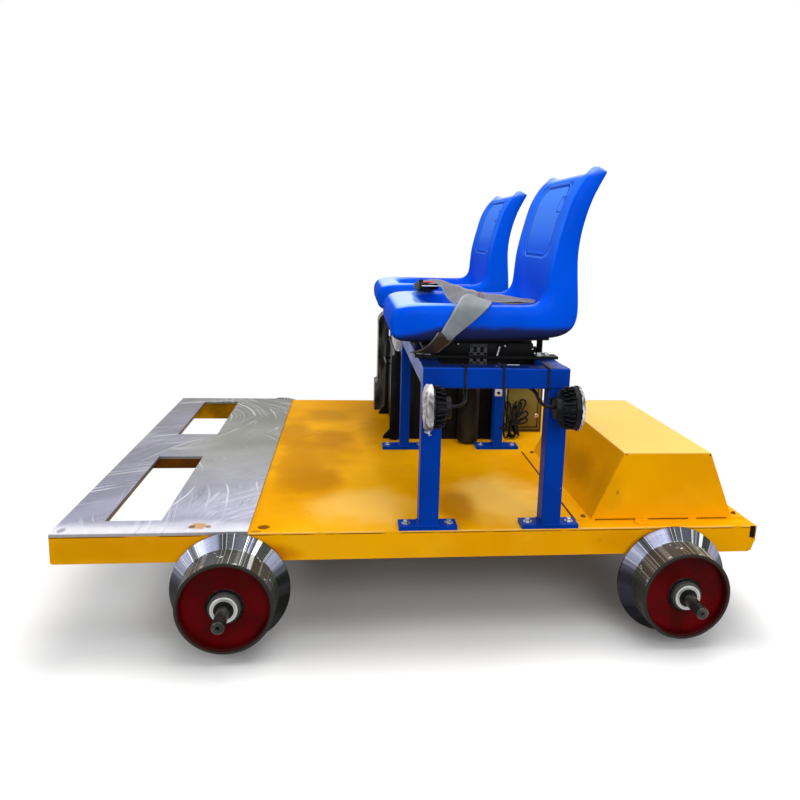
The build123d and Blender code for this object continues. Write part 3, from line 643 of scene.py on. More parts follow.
def seat_gloss(name, centre, drop):
    """Glossy moulded plastic with a fine orange skin and faint flow clouds, with painted light on
    its faces and a painted shade along its underside. drop is how far the seat sits below the near one, in
    millimetres."""
    s = Surface(name)
    cloud = s.cloud(5, 4)
    scuffs = s.ramp(s.noise(75, 5, 0.7, s.mapped((1, 0.3, 0.6))), 0.66, 0.76)
    facing = s.node("ShaderNodeTexCoord", None, None, "Normal")
    upward, ahead = s.axis("Z", facing), s.axis("X", facing)
    height = s.axis("Z")
    # forward paints the faces that look ahead lighter, as painted light; pale is a painted highlight on top
    # faces near the front, and tip a painted highlight on the tops of the backs.
    forward = s.ramp(ahead, -0.35, -0.8) * s.ramp(height, DECK_TOP + 0.56, DECK_TOP + 0.72)
    pale = s.ramp(upward, 0.7, 0.95) * s.ramp(s.axis("X"), FRONT_EDGE + 0.95, FRONT_EDGE + 0.8)
    tip_low = DECK_TOP + 0.826 - drop * 0.0019
    tip = s.ramp(height, tip_low, tip_low + 0.016) * s.ramp(upward, -0.1, 0.5)
    # The pressed border of the back panel, and the small recess in its near side. Inside the border the panel
    # is painted lighter as painted light, lit is a painted highlight along the border, and groove is painted
    # shade in the border and recess lines.
    panel_middle = place(0, centre, PANEL_HEIGHT - drop * 1.6)
    across, upright = s.axis("Y") - panel_middle.y, height - panel_middle.z
    front_face = s.ramp(ahead, -0.15, -0.45)
    border = rounded_border(s, across, upright, *PANEL_BORDER)
    recess = rounded_border(s, across + 0.116, upright - 0.0385, *RECESS_BORDER)
    inside = s.ramp(border, 0.001, -0.004) * s.ramp(upright, -0.09, 0.02) * front_face
    lit = s.ramp((border - 0.0062).math("ABSOLUTE"), 0.0034, 0.001) * front_face
    recess_line = s.ramp(recess.math("ABSOLUTE"), 0.0026, 0.0012)
    groove = s.ramp(border.math("ABSOLUTE"), 0.0036, 0.0016).math("MAXIMUM", recess_line)
    # A painted shade darkens the underside, rising towards the back.
    foot = place(*SEAT_FOOT)
    front = (s.axis("X") - foot.x).math("MINIMUM", SEAT_RISE_RUN)
    above = height - front * (SEAT_RISE / SEAT_RISE_RUN) - (foot.z - drop / 1000)
    dirt_and_shade = s.ramp(above + (s.noise(24, 3) - 0.5) * 0.008, 0.010, -0.010)
    return s.finish(
        Base_Color=s.over(
            s.mix(cloud, (0, 81, 224), (0, 74, 208)),
            (scuffs * 0.12, (120, 160, 240)),
            (forward * 0.8, (46, 114, 246)),
            (pale * 0.7, (150, 200, 252)),
            (tip * 0.4, (176, 208, 252)),
            (inside * 0.7, (82, 146, 255)),
            (lit * 0.55, (96, 158, 255)),
            (groove * front_face * 0.75, (0, 44, 140)),
            (dirt_and_shade * 0.96, (30, 34, 66)),
        ),
        Roughness=cloud * 0.06 + 0.24 + dirt_and_shade * 0.2,
        Normal=s.bump(s.noise(420, 2) * 0.012 + s.noise(11, 2) * 0.12, 0.004),
        Coat_Weight=s.ramp(upward, 0.72, 0.97) * 0.9 * (1 - dirt_and_shade) + 0.035,
        Coat_Roughness=0.16,
        IOR=1.36,
        Specular_IOR_Level=0.0,
    )


# Places on a wheel in metres: how far out from the deck's edge, and how far from the axle.
WHEEL_BACK = 0.0105
TREAD_START, TREAD_RADIUS = 0.037, 0.1095
RIM_OUT, RIM_RADIUS = 0.1035, 0.094
FACE_OUT, FACE_RADIUS = 0.0875, 0.0968
HUB_RADIUS = 0.043


def turned_wheel(end):
    """Bright turned flange and tread, with a dark red painted face and a speckled hub. The
    brightness round the flange and tread is painted light: bands of reflection, glints and highlights, and
    shade low down.
    """
    s = Surface(f"{end}_wheel_steel")
    local = s.mapped(location=-AXLES[end])
    x, y, z = (s.axis(letter, local) for letter in "XYZ")
    radius = s.length(s.join(x, 0.0, z))
    out = y.math("ABSOLUTE") - DECK_HALF
    ring_x, ring_z = x / radius, z / radius
    side = y.math("SIGN") * 3

    def round_the_wheel(scale, detail, shift):
        return s.noise(scale, detail, 0.5, s.join(ring_x, ring_z, shift))

    def thin_lines(scale, shift, level, wide, narrow):
        return s.ramp((round_the_wheel(scale, 1, shift) - level).math("ABSOLUTE"), wide, narrow)

    # The flange is painted brightest at its top and near black low down, as painted light and
    # shade, with a few thin lines of painted glint that run out across the tread.
    lit = s.ramp(ring_z - ring_x * 0.04, 0.2, 0.66)
    finer = thin_lines(6.1, side + 4, 0.55, 0.012, 0.004)
    glint = thin_lines(4.6, side, 0.5, 0.02, 0.006).math("MAXIMUM", finer) * lit
    radial = s.noise(30, 3, 0.6, s.join(ring_x, ring_z, 0.0))
    turned = s.noise(1.0, 3, 0.6, s.join(radius * 900, out * 900, 0.0))
    # sector lays broad bands of painted reflection round the flange, faint near the top and bottom of the
    # wheel, and low_side is painted shade low down on it.
    crown = s.ramp((ring_x - 0.12).math("ABSOLUTE"), 0.36, 0.24)
    sector = s.ramp(round_the_wheel(2.6, 3, side), 0.42, 0.56) * (1 - crown * 0.85)
    low_side = s.mix(s.ramp(ring_x, -0.3, 0.3), (34, 34, 42), (22, 26, 23))
    steel = s.over(
        s.mix(sector, (56, 59, 54), (156, 160, 186)),
        (s.ramp(radial, 0.45, 0.75) * 0.35, (104, 108, 126)),
        (glint * 0.95, (250, 250, 255)),
        ((1 - lit) * 0.94, s.mix(s.ramp(ring_z, -0.2, -0.8) * 0.7, low_side, (16, 18, 16))),
    )
    tread = (radius < TREAD_RADIUS) * (out > TREAD_START)
    # On the tread, blocks and patch are painted highlights, strongest where lit is high, over its dark turned
    # tone.
    blocks = s.ramp(round_the_wheel(3.4, 2, side + 7), 0.5, 0.54)
    patch = s.ramp(round_the_wheel(5.5, 2, side + out * 9), 0.66, 0.68) * lit
    oily_tread_and_glints = s.over(
        s.mix(s.ramp(turned, 0.4, 0.7), (76, 74, 66), (46, 46, 42)),
        (blocks * lit * 0.7, (126, 126, 118)),
        (patch.math("MAXIMUM", glint * 0.8), (220, 222, 216)),
    )
    edge = s.ramp(radius, RIM_RADIUS, RIM_RADIUS + 0.0015) * s.ramp(out, RIM_OUT, RIM_OUT + 0.001)
    rim = s.mix(s.ramp(radius, 0.0985, 0.1005), (58, 8, 6), (46, 48, 44))
    face = s.ramp(out, FACE_OUT, FACE_OUT + 0.001) * s.ramp(radius, FACE_RADIUS, FACE_RADIUS - 0.001)
    worn = s.ramp(s.noise(60, 5, 0.7), 0.68, 0.76)
    red = s.over(
        s.mix(s.cloud(16, 4), (96, 0, 4), (66, 0, 2)),
        (s.ramp(ring_z, -0.3, 0.9) * 0.5, (40, 0, 0)),
        (worn * 0.45, (140, 30, 36)),
        (s.ramp(radius, 0.09, 0.097) * 0.7, (28, 4, 4)),
    )
    hub = s.ramp(radius, HUB_RADIUS, HUB_RADIUS - 0.0025)
    speckled = s.mix(s.ramp(s.noise(330, 2), 0.5, 0.7), (10, 8, 9), (64, 54, 54))
    back = s.ramp(out, WHEEL_BACK, WHEEL_BACK - 0.0015)
    dusty = s.mix(s.noise(30, 4), (84, 80, 76), (60, 58, 56))
    coated = face.math("MAXIMUM", back)
    zones = ((tread * 0.94, oily_tread_and_glints), (edge, rim), (face, red), (hub * face, speckled), (back, dusty))
    return s.finish(
        Base_Color=s.over(steel, *zones),
        Metallic=(0.92 - tread * 0.55) * (1 - coated),
        Roughness=coated * 0.2 + 0.24 + s.ramp(turned, 0.4, 0.7) * 0.1,
        Normal=s.bump(turned * (1 - coated) * 0.2 + s.noise(140, 3) * face * 0.5, 0.0008),
        Specular_IOR_Level=0.06,
    )


def collar_ring(end):
    """Pale machined ring with a black seal round the stub."""
    s = Surface(f"{end}_collar_metal")
    local = s.mapped(location=-AXLES[end])
    radius = s.length(s.join(s.axis("X", local), 0.0, s.axis("Z", local)))
    turned = s.noise(1.0, 3, 0.6, s.join(radius * 1400, 0.0, 0.0))
    seal = s.ramp(radius, 0.0215, 0.0205).math("MAXIMUM", s.ramp(radius, 0.0298, 0.0304) * 0.9)
    groove = s.ramp((radius - 0.0248).math("ABSOLUTE"), 0.0009, 0.0004)
    dirt_and_shade = s.ramp(s.noise(60, 4), 0.5, 0.75)
    return s.finish(
        Base_Color=s.over(
            s.mix(turned, (206, 206, 202), (168, 170, 168)),
            (groove * 0.7, (70, 70, 70)),
            (dirt_and_shade * 0.4, (120, 118, 112)),
            (seal, (14, 14, 14)),
        ),
        Metallic=0.7 - seal * 0.7,
        Roughness=seal * 0.2 + 0.4,
        Normal=s.bump(turned * 0.3, 0.0004),
        Specular_IOR_Level=0.15,
    )


def plain_metal(name, light, dark, rough, metallic=1.0, root=None):
    """Bare metal. root is how far out past the deck's edge it is black, from and
    to, and where its dull end begins."""
    s = Surface(name)
    cloud = s.cloud(40, 5, 0.6)
    spots = s.ramp(s.noise(200, 3), 0.6, 0.72)
    colour = s.mix(spots * 0.35, s.mix(cloud, light, dark), dark)
    if root:
        start, end, dull = root
        out = s.axis("Y").math("ABSOLUTE") - DECK_HALF
        black_root = s.ramp(out, start, start + 0.002) * s.ramp(out, end, end - 0.004)
        dulled = s.ramp(out, dull, dull + 0.002)
        colour = s.over(colour, (black_root * 0.95, (10, 10, 10)), (dulled * 0.7, (44, 46, 42)))
        metallic = (1 - black_root) * metallic
    return s.finish(
        Base_Color=colour,
        Metallic=metallic,
        Roughness=cloud * 0.15 + rough,
        Normal=s.bump(s.noise(360, 3), 0.0006),
        Specular_IOR_Level=0.1,
    )


def plain_coat(name, light, dark, rough, scale=12.0, grain=300.0, bump=0.0004, dust_and_shade=None, shine=0.12):
    """Paint or plastic: two close shades in clouds, a fine grain, and dust where it is given."""
    s = Surface(name)
    cloud = s.cloud(scale)
    colour = s.mix(cloud, light, dark)
    if dust_and_shade:
        colour = s.mix(s.ramp(s.noise(scale * 6, 6, 0.7), 0.6, 0.8) * 0.5, colour, dust_and_shade)
    return s.finish(
        Base_Color=colour,
        Roughness=cloud * 0.12 + rough,
        Normal=s.bump(s.noise(grain, 3), bump),
        IOR=1.4,
        Specular_IOR_Level=shine,
    )


def crinkled(name, light, dark, rough, fold, depth, drawn, shine):
    """Thin film with sharp creases, drawn out along Z where drawn is below 1. The crease lines
    take the light colour as a painted highlight and the cells between them the dark one, and shaded lays
    broad patches of painted shade.
    """
    s = Surface(name)
    creases = None
    for scale, seed in ((fold, 0.0), (fold * 2.3, 4.1)):
        inputs = {"Vector": s.mapped((1.0, 1.0, drawn), (seed, 0, seed)), "Scale": scale}
        edge = s.node("ShaderNodeTexVoronoi", {"feature": "DISTANCE_TO_EDGE"}, inputs)
        layer = s.ramp(edge, 0.0, 0.3)
        creases = layer if creases is None else creases * 0.6 + layer * 0.4
    shaded = s.ramp(s.noise(fold * 0.7, 4), 0.4, 0.65)
    return s.finish(
        Base_Color=s.over(s.mix(creases, light, dark), (shaded * 0.6, dark)),
        Roughness=creases * 0.15 + rough,
        Normal=s.bump(creases, depth),
        Specular_IOR_Level=shine,
    )


WEAVE_RIB, WEAVE_PICK = 0.0016, 0.0022


def webbing(name, light, dark, sheen=0.2):
    """Woven polyester strap: ribs along its length, with a bright line near each edge."""
    s = Surface(name)
    uv = s.node("ShaderNodeUVMap")
    along, across = s.axis("X", uv), s.axis("Y", uv)
    ribs = (across * 2 * math.pi / WEAVE_RIB).math("SINE") * 0.5 + 0.5
    picks = (along * 2 * math.pi / WEAVE_PICK).math("SINE") * 0.5 + 0.5
    weave = ribs * 0.6 + picks * 0.4
    aside = across.math("ABSOLUTE")
    selvedge = s.ramp(aside, 0.0195, 0.0205) * s.ramp(aside, 0.0228, 0.0222)
    woven = s.mix(weave * 0.35, dark, s.mix(s.cloud(26), light, dark))
    return s.finish(
        Base_Color=s.mix(selvedge * 0.3, woven, (200, 200, 208)),
        Roughness=0.62 - weave * 0.12,
        Normal=s.bump(weave, 0.0004),
        Sheen_Weight=sheen,
    )


# On the deck, the two pale patches at stations 690 and 1060 are painted reflections of glare on the sheet.
DECK_MARKS = (
    ((462, 34, 0), (15, 14, 5), (120, 66, 16), 0.95),
    ((447, 10, 0), (14, 8, 5), (146, 92, 20), 0.7),
    ((690, 160, 0), (150, 130, 14), (250, 196, 92), 0.8),
    ((1060, 200, 0), (140, 200, 14), (250, 200, 96), 0.8),
    ((560, 600, 0), (130, 260, 14), (196, 132, 6), 0.75),
    ((790, 640, 0), (80, 300, 14), (204, 142, 6), 0.6),
    ((930, 150, 0), (60, 130, 14), (182, 116, 6), 0.85),
    ((580, 1080, 0), (110, 120, 14), (190, 128, 8), 0.7),
    ((505, 470, 0), (70, 290, 14), (196, 132, 4), 0.85),
    ((560, 350, 0), (90, 150, 14), (186, 122, 2), 0.8),
    ((470, 840, 0), (60, 220, 14), (190, 128, 4), 0.85),
    ((600, 770, 0), (90, 140, 14), (184, 120, 4), 0.7),
    ((775, 860, 0), (90, 260, 14), (168, 112, 0), 0.5),
)
# On the motor cover, the first mark darkens its front slope as painted shade, and the pale patch on its top
# at station 1440 is a painted highlight.
COVER_MARKS = (
    ((1282, 300, 66), (38, 190, 76), (128, 78, 2), 0.45),
    ((1300, 90, 60), (50, 70, 70), (206, 142, 4), 0.6),
    ((1316, 47, 72), (5, 6, 7), (176, 112, 10), 0.7),
    ((1331, 50, 170), (4, 5, 4), (90, 50, 8), 0.9),
    ((1548, 50, 167), (4, 5, 4), (90, 50, 8), 0.9),
    ((1440, 440, 173), (70, 120, 10), (240, 196, 96), 0.7),
)
BEAM_MARKS = (
    ((1262, 0, -31), (8, 5, 6), (196, 128, 10), 0.4),
    ((90, 0, -34), (150, 8, 40), (206, 140, 4), 0.6),
    ((480, 0, -50), (70, 8, 26), (184, 96, 6), 0.7),
    ((1330, 0, -30), (90, 8, 40), (206, 132, 6), 0.5),
    ((160, 1285, -34), (90, 14, 60), (132, 84, 4), 1.0),
)
BEAM_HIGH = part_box("side_beams")[1].z
BEAM_BANDS = (("Z", BEAM_HIGH - 0.0026, BEAM_HIGH + 0.001, (112, 64, 6), 0.85),)
# A pale line along the deck's near edge is a painted highlight.
DECK_BANDS = (("Y", NEAR_EDGE - 0.001, NEAR_EDGE + 0.003, (250, 200, 104), 0.7),)
# The top of the motor cover is painted pale from this height up, as a painted highlight.
COVER_TOP_HIGHLIGHT = (DECK_TOP + 0.172, (248, 206, 112), 0.8)

beam_yellow = yellow_paint("beam_yellow", BEAM_MARKS, BEAM_BANDS)
deck_yellow = yellow_paint("deck_yellow", DECK_MARKS, DECK_BANDS, shine=0.006)
# The centre rib and crossmembers are a darker copy of the yellow paint, as painted shade, with dust.
inner_yellow_in_shade = plain_coat("inner_yellow_in_shade", (136, 88, 4), (96, 60, 4), 0.5, 9.0, 200.0, 0.0005, (70, 46, 10))
cover_yellow = yellow_paint("cover_yellow", COVER_MARKS, painted_top_highlight=COVER_TOP_HIGHLIGHT)
plate_steel = ground_steel()
frame_blue = blue_paint()
seat_plastics = {
    seat: seat_gloss(f"{seat}_plastic", SEAT_CENTRES[seat], drop) for seat, drop in SEAT_DROPS.items()
}
wheel_steels = {end: turned_wheel(end) for end in AXLES}
collar_rings = {end: collar_ring(end) for end in AXLES}
axle_metal = plain_metal("axle_steel", (112, 114, 106), (58, 58, 52), 0.26, root=(0.1, 0.122, 0.178))
collar_metal = plain_metal("collar_metal", (216, 216, 212), (180, 180, 178), 0.4, 0.25)
zinc = plain_metal("zinc_bolts", (214, 214, 216), (150, 150, 156), 0.25, 0.9)
cast_black = plain_coat("cast_black", (54, 54, 56), (34, 34, 36), 0.55, 20.0, 90.0, 0.001, (92, 86, 74))
black_enamel = plain_coat("black_enamel", (20, 20, 21), (9, 9, 10), 0.35, 14.0, 260.0, 0.0004, (44, 42, 40))
black_moulded = plain_coat("black_moulded", (27, 30, 32), (14, 15, 17), 0.38, 30.0, 420.0, 0.0003)
cable_black = plain_coat("cable_black", (22, 22, 24), (12, 12, 13), 0.42, 60.0, 500.0, 0.0002)
pale_case = plain_coat("pale_case", (206, 206, 208), (178, 178, 184), 0.45, 18.0, 300.0, 0.0003)
cream_coat = plain_coat(
    "cream_coat", (124, 110, 56), (98, 84, 38), 0.5, 8.0, 350.0, 0.0004, (100, 84, 44), shine=0.01
)
cover_edge_shadow_red = plain_coat("cover_edge_shadow_red", (96, 34, 10), (60, 18, 6), 0.7, 30.0, 200.0, 0.0003, shine=0.02)
# The bars along the slots are painted dark brown, as painted shade inside the slots, with dust.
slot_bar_shade_brown = plain_coat(
    "slot_bar_shade_brown", (104, 58, 12), (60, 34, 12), 0.5, 14.0, 200.0, 0.0004, (84, 48, 12), shine=0.03
)
seam_brown = plain_coat("seam_brown", (58, 46, 22), (36, 28, 14), 0.6, 30.0, 200.0, 0.0004)
pan_black = plain_coat("pan_black", (16, 16, 18), (5, 5, 6), 0.45, 30.0, 200.0, 0.0006, (40, 38, 36), 0.1)
slot_grey = plain_coat(
    "slot_plate_grey", (70, 72, 78), (34, 34, 38), 0.5, 40.0, 200.0, 0.0006, (90, 88, 84), shine=0.1
)
rusty = plain_coat("rusty_bolt", (150, 92, 30), (96, 54, 18), 0.6, 160.0, 400.0, 0.0006, (190, 160, 110), 0.1)
silver_film = crinkled("silver_film", (240, 238, 244), (58, 52, 50), 0.2, 30.0, 0.005, 0.4, 0.3)
black_film = crinkled("black_film", (46, 40, 30), (5, 5, 4), 0.42, 9.0, 0.004, 0.5, 0.1)
case_film = crinkled("case_film", (84, 86, 82), (5, 5, 5), 0.3, 15.0, 0.004, 0.45, 0.2)
belt_grey = webbing("belt_grey", (124, 121, 132), (74, 71, 80))
belt_green = webbing("belt_green", (164, 170, 168), (104, 112, 118))
# The tail under the seat is the same strap as the others, painted dark brown as painted shade.
belt_shade_brown = webbing("belt_shade_brown", (52, 46, 30), (22, 19, 12), 0.04)
stitch_brown = plain_coat("stitch_brown", (176, 96, 60), (130, 66, 40), 0.7)
lamp_black = plain_coat("lamp_black", (13, 15, 20), (5, 6, 8), 0.34, 40.0, 260.0, 0.0005, (46, 52, 56), 0.16)
lens_glass = plain_coat("lens_glass", (196, 200, 204), (150, 154, 160), 0.08, 30.0, 500.0, 0.0001, shine=0.5)
buckle_red = plain_coat("buckle_red", (226, 84, 84), (200, 60, 60), 0.35)

SLOT_FINISHES = {
    "yellow_paint": beam_yellow,
    "ground_steel": plate_steel,
    "dark_casting": cast_black,
    "axle_steel": axle_metal,
    "collar_metal": collar_metal,
    "blue_paint": frame_blue,
    "blue_plastic": seat_plastics["seat_near"],
    "black_steel": black_enamel,
    "black_plastic": black_moulded,
    "webbing": belt_grey,
    "cable_rubber": cable_black,
    "pale_plastic": pale_case,
    "cream_paint": cream_coat,
}
NODE_FINISHES = {
    "centre_rib": inner_yellow_in_shade,
    "crossmembers": inner_yellow_in_shade,
    "deck_sheet": deck_yellow,
    "motor_cover": cover_yellow,
    "wrapped_bundle": black_film,
    "upright_case": case_film,
}
for part in frame["record"]["subparts"]:
    name = part["node"]
    end = name.split("_")[0]
    if "_wheel_" in name:
        finish = wheel_steels[end]
    elif name.endswith("_collars"):
        finish = collar_rings[end]
    else:
        finish = NODE_FINISHES.get(name) or SLOT_FINISHES[part["material_slot"]]
    NODES[name].data.materials.clear()
    NODES[name].data.materials.append(finish)

# ---- the seats ---------------------------------------------------------------------------------
for seat_name, seat_centre in SEAT_CENTRES.items():
    seat_shell(seat_name, seat_centre)

# ---- seat belts --------------------------------------------------------------------------------
WEBBING_THICK = 0.0016
RIBBON_RIPPLE = 0.0012
RIBBON_STEPS = 7
RIBBON_COLUMNS = 9
SEAT_REACH = 153.5
BAR_TOP = 397.5


def ribbon(name, rows, surface, replaces=()):
    """A webbing strap through rows of (one edge, other edge), in the deck's millimetres. A row
    may cross the strap at a slant."""
    ends = [[place(*left), place(*right)] for left, right in rows]
    edges = []
    for count in range(len(ends) - 1):
        near = [ends[min(max(count + k, 0), len(ends) - 1)] for k in (-1, 0, 1, 2)]
        for step in range(RIBBON_STEPS):
            share = step / RIBBON_STEPS
            edges.append([eased(*(pair[side] for pair in near), share) for side in (0, 1)])
    edges.append(ends[-1])
    strips, weave, length, area = [], [], 0.0, 0.0
    last = None
    for left, right in edges:
        middle = (left + right) / 2
        half = (right - left) / 2
        step = middle - last if last else Vector((0, 0, 0.001))
        if last:
            length += step.length
            area += (half * 2).cross(step).length
        up = half.cross(step).normalized()
        last = middle
        weave.append(length)
        strip = []
        for column in range(RIBBON_COLUMNS):
            share = column / (RIBBON_COLUMNS - 1) * 2 - 1
            lift = RIBBON_RIPPLE * math.sin(length * 62 + share * 2.1) * (0.4 + share * share)
            strip.append(middle + half * share + up * lift)
        strips.append(strip)
    bm = grid_of_points(strips, weave)
    bmesh.ops.recalc_face_normals(bm, faces=bm.faces)
    made = piece(name, bm, surface, replaces)
    modify(made, "SOLIDIFY", thickness=WEBBING_THICK, offset=0.0)


def level_rows(low, high, run):
    """Rows of a strap whose edges stay at stations low and high; run is (offset, height)."""
    return tuple(((low, offset, height), (high, offset, height)) for offset, height in run)


NEAR_ARCH = (
    ((842, 452, 543), (846, 414, 539)),
    ((854, 448, 552), (858, 402, 546)),
    ((870, 442, 557), (870, 396, 550)),
    ((888, 436, 558), (880, 390, 551)),
    ((908, 430, 557), (891, 385, 551)),
    ((930, 385, 553), (901, 352, 540)),
    ((948, 320, 548), (906, 300, 523)),
    ((963, 250, 547), (913, 235, 514)),
    ((971, 190, 547), (926, 165, 520)),
    ((984, 150, 546), (948, 110, 526)),
)
NEAR_LOOP = (
    ((962, 150, 549), (966, 106, 531)),
    ((994, 150, 545), (996, 106, 531)),
    ((1031, 150, 541), (1030, 106, 530)),
    ((1069, 150, 538), (1062, 106, 530)),
    ((1093, 147, 536), (1084, 108, 530)),
    ((1104, 143, 533), (1096, 111, 529.5)),
    ((1099, 145, 530), (1090, 108, 528)),
    ((1070, 150, 530), (1062, 105, 527.5)),
    ((1031, 150, 532), (1030, 104, 527.5)),
    ((992, 150, 533), (994, 104, 527.5)),
)
NEAR_DRAPE = (
    ((861, 80, 450), (888, 79, 440)),
    ((867, 74, 459), (898, 73, 448)),
    ((879, 75, 482), (920, 74, 466)),
    ((889, 75, 500), (942, 73, 485)),
    ((897, 76, 517), (962, 74, 504)),
    ((904, 82, 529), (978, 77, 519)),
    ((914, 95, 541), (989, 94, 530)),
    ((930, 112, 545), (990, 112, 532)),
    ((952, 128, 541), (988, 132, 531)),
)
NEAR_TAIL = (
    ((801, 134, 400), (852, 144, 398.5)),
    ((805, 124, 402), (862, 132, 400)),
    ((814, 112, 408), (872, 120, 406)),
    ((828, 97, 419), (882, 103, 419)),
    ((842, 83, 433), (892, 87, 434)),
    ((851, 75.5, 446), (900, 76.5, 448)),
    ((858, 74.5, 458), (905, 74.5, 461)),
)
BUCKLE_CLIMB = (
    (128, 399), (150, 400), (176, 401), (196, 405), (206, 424), (207.5, 450), (207, 480), (206, 505),
    (200, 523), (186, 532), (178, 534), (168, 537),
)
FAR_OUTER, FAR_INNER = (SEAT_CENTRES["seat_far"] + side * SEAT_REACH for side in (1, -1))
HANGING = (
    (FAR_OUTER - 28, BAR_TOP), (FAR_OUTER - 8, BAR_TOP), (FAR_OUTER + 1, 395.5), (FAR_OUTER + 3.5, 388),
    (FAR_OUTER + 4, 360), (FAR_OUTER + 1, 300), (FAR_OUTER - 3, 220), (FAR_OUTER + 1, 130),
    (FAR_OUTER + 3, 60), (FAR_OUTER + 4, 24), (FAR_OUTER + 9, 8), (FAR_OUTER + 20, 2.6),
    (FAR_OUTER + 48, 2.4),
)
ON_THE_LID = (
    (FAR_INNER + 26, BAR_TOP), (FAR_INNER + 8, BAR_TOP), (FAR_INNER - 1, 395.5), (FAR_INNER - 3.5, 388),
    (FAR_INNER - 4, 360), (FAR_INNER - 1, 330), (FAR_INNER - 4, 311), (FAR_INNER - 13, 303),
    (FAR_INNER - 26, 302.4), (FAR_INNER - 36, 306), (FAR_INNER - 44, 310.5),
)
ribbon("near_belt_arch", NEAR_ARCH, belt_grey, ("seat_belts",))
ribbon("near_belt_loop", NEAR_LOOP, belt_grey, ("seat_belts",))
ribbon("near_belt_drape", NEAR_DRAPE, belt_green, ("seat_belts",))
ribbon("near_belt_tail", NEAR_TAIL, belt_shade_brown, ("seat_belts",))
ribbon(
    "near_belt_anchor",
    level_rows(846, 894, [(SEAT_CENTRES["seat_near"] + out, height) for out, height in BUCKLE_CLIMB]),
    belt_grey,
)
ribbon("far_belt", level_rows(900, 948, HANGING), belt_grey)
lid_rows = level_rows(1000, 1048, ON_THE_LID)
ribbon("far_belt_anchor", lid_rows, belt_grey)


def buckle(name, centre, around, pitch):
    """A push-button belt buckle: its mouth is towards +Y before it is turned, in degrees, up
    or down and then around."""
    at = place(*centre)
    turn = Matrix.Rotation(math.radians(around), 3, "Z") @ Matrix.Rotation(math.radians(pitch), 3, "X")

    def part(fill):
        bm = bmesh.new()
        fill(bm)
        bmesh.ops.rotate(bm, cent=(0, 0, 0), matrix=turn, verts=bm.verts)
        bmesh.ops.translate(bm, vec=at, verts=bm.verts)
        return closed(bm)

    def body(bm):
        block_into(bm, Vector((0, 0, 0)), (0.056, 0.07, 0.021), 0.0055, 3)
        block_into(bm, Vector((0, -0.038, -0.002)), (0.05, 0.014, 0.013), 0.003, 2)
        block_into(bm, Vector((0.021, 0.018, 0.0135)), (0.011, 0.018, 0.01), 0.0032, 3)
        for rib in range(4):
            block_into(bm, Vector((0, -0.012 - rib * 0.006, 0.0108)), (0.038, 0.0022, 0.0016), 0.0005, 1)

    def button(bm):
        block_into(bm, Vector((0, 0.023, 0.0095)), (0.034, 0.017, 0.006), 0.002, 3)

    def metal(bm):
        block_into(bm, Vector((0, 0.05, 0.0)), (0.042, 0.038, 0.0026), 0.001, 2)
        block_into(bm, Vector((0.0, 0.066, 0.0)), (0.056, 0.012, 0.003), 0.0012, 2)

    piece(name, part(body), black_moulded, ("belt_buckles",), SHARP_ANGLE)
    piece(f"{name}_button", part(button), buckle_red, (), SHARP_ANGLE)
    piece(f"{name}_tongue", part(metal), zinc, (), SHARP_ANGLE)


buckle("near_buckle", (867, 432, 541), 188, 4)
buckle("far_buckle", (1024, 830, 314.6), 180, 0)


def belt_end(bm):
    """The metal tongue sewn to the loose end of the far belt, lying on the deck."""
    at = place(924, FAR_OUTER + 56, 2.6)
    block_into(bm, at, (0.056, 0.026, 0.003), 0.0012, 2)
    block_into(bm, at + Vector((0, 0.03, 0)), (0.036, 0.042, 0.0026), 0.001, 2)


def belt_stitches(bm):
    """Rows of thread across the doubled webbing, on the seam."""
    for row in range(3):
        for stitch in range(11):
            share = (stitch + 0.5) / 11
            top, bottom = place(966 + row * 5, 149, 551.5), place(962 + row * 5, 108, 533.5)
            block_into(bm, top.lerp(bottom, share), (0.0012, 0.0028, 0.0012), 0.0004, 1)


fittings("far_belt_tongue", belt_end, "collar_metal", zinc)
fittings("belt_stitching", belt_stitches, "webbing", stitch_brown)

# ---- cords -------------------------------------------------------------------------------------
LAMP_CABLE_SIZE, SUPPLY_CABLE_SIZE = 0.008, 0.0062
LAMP_CABLE_ROUTE = (
    (877, -58, 313), (890, -58, 313), (902, -51, 315), (912, -34, 319), (918, -6, 326), (921, 24, 331),
    (927, 48, 335), (944, 60, 348), (972, 60, 354), (1010, 58, 355), (1046, 60, 353), (1070, 58, 343),
    (1082, 42, 332), (1086, 18, 331), (1084, -6, 327), (1084, -30, 319), (1090, -50, 314),
    (1099, -58, 313), (1111, -58, 313),
)
SUPPLY_CABLE_ROUTE = (
    (1158, 672, 341), (1158, 672, 318), (1160, 674, 274), (1159, 676, 220), (1161, 677, 164),
    (1162, 680, 110), (1165, 690, 66), (1171, 706, 32), (1180, 728, 14), (1191, 752, 11),
)
# The hank leans back from its foot: its own axes are along the deck, up its slope, and out of
# its face. Its tie sits at TIE_UP, where the strands go up at one side and down at the other.
HANK_FOOT = (1195, 760, 0)
HANK_SLOPE = (0.584, 0.811)
TIE_UP = 50
TIE_STRANDS = (18.0, 25.2)
TIE_MIDDLE = 21.6
# Each turn: where its tip is, its half width, and its place across the bundle.
HANK_TURNS = (
    (60, 149, 12, -12.4), (15, 143, 9, -6.2), (82, 102, 9.5, 0), (74, 146, 11, 6.2), (75, 71, 9.5, 12.4),
)
# The cable leaves the hank along its foot and up its side, and ends in the control box's gland.
HANK_EXIT = ((36, 19, 9), (42, 14, 0), (46, 19, -10), (46, 34, -16), (45, 62, -17), (44.5, 90, -15))
GLAND_RUN = ((1240, 828, 76), (1240, 829, 95), (1240, 850, 95))


def on_hank(along, slope, out):
    station, offset, height = HANK_FOOT
    across, rise = HANK_SLOPE
    return (station + along, offset + slope * across - out * rise, height + slope * rise + out * across)


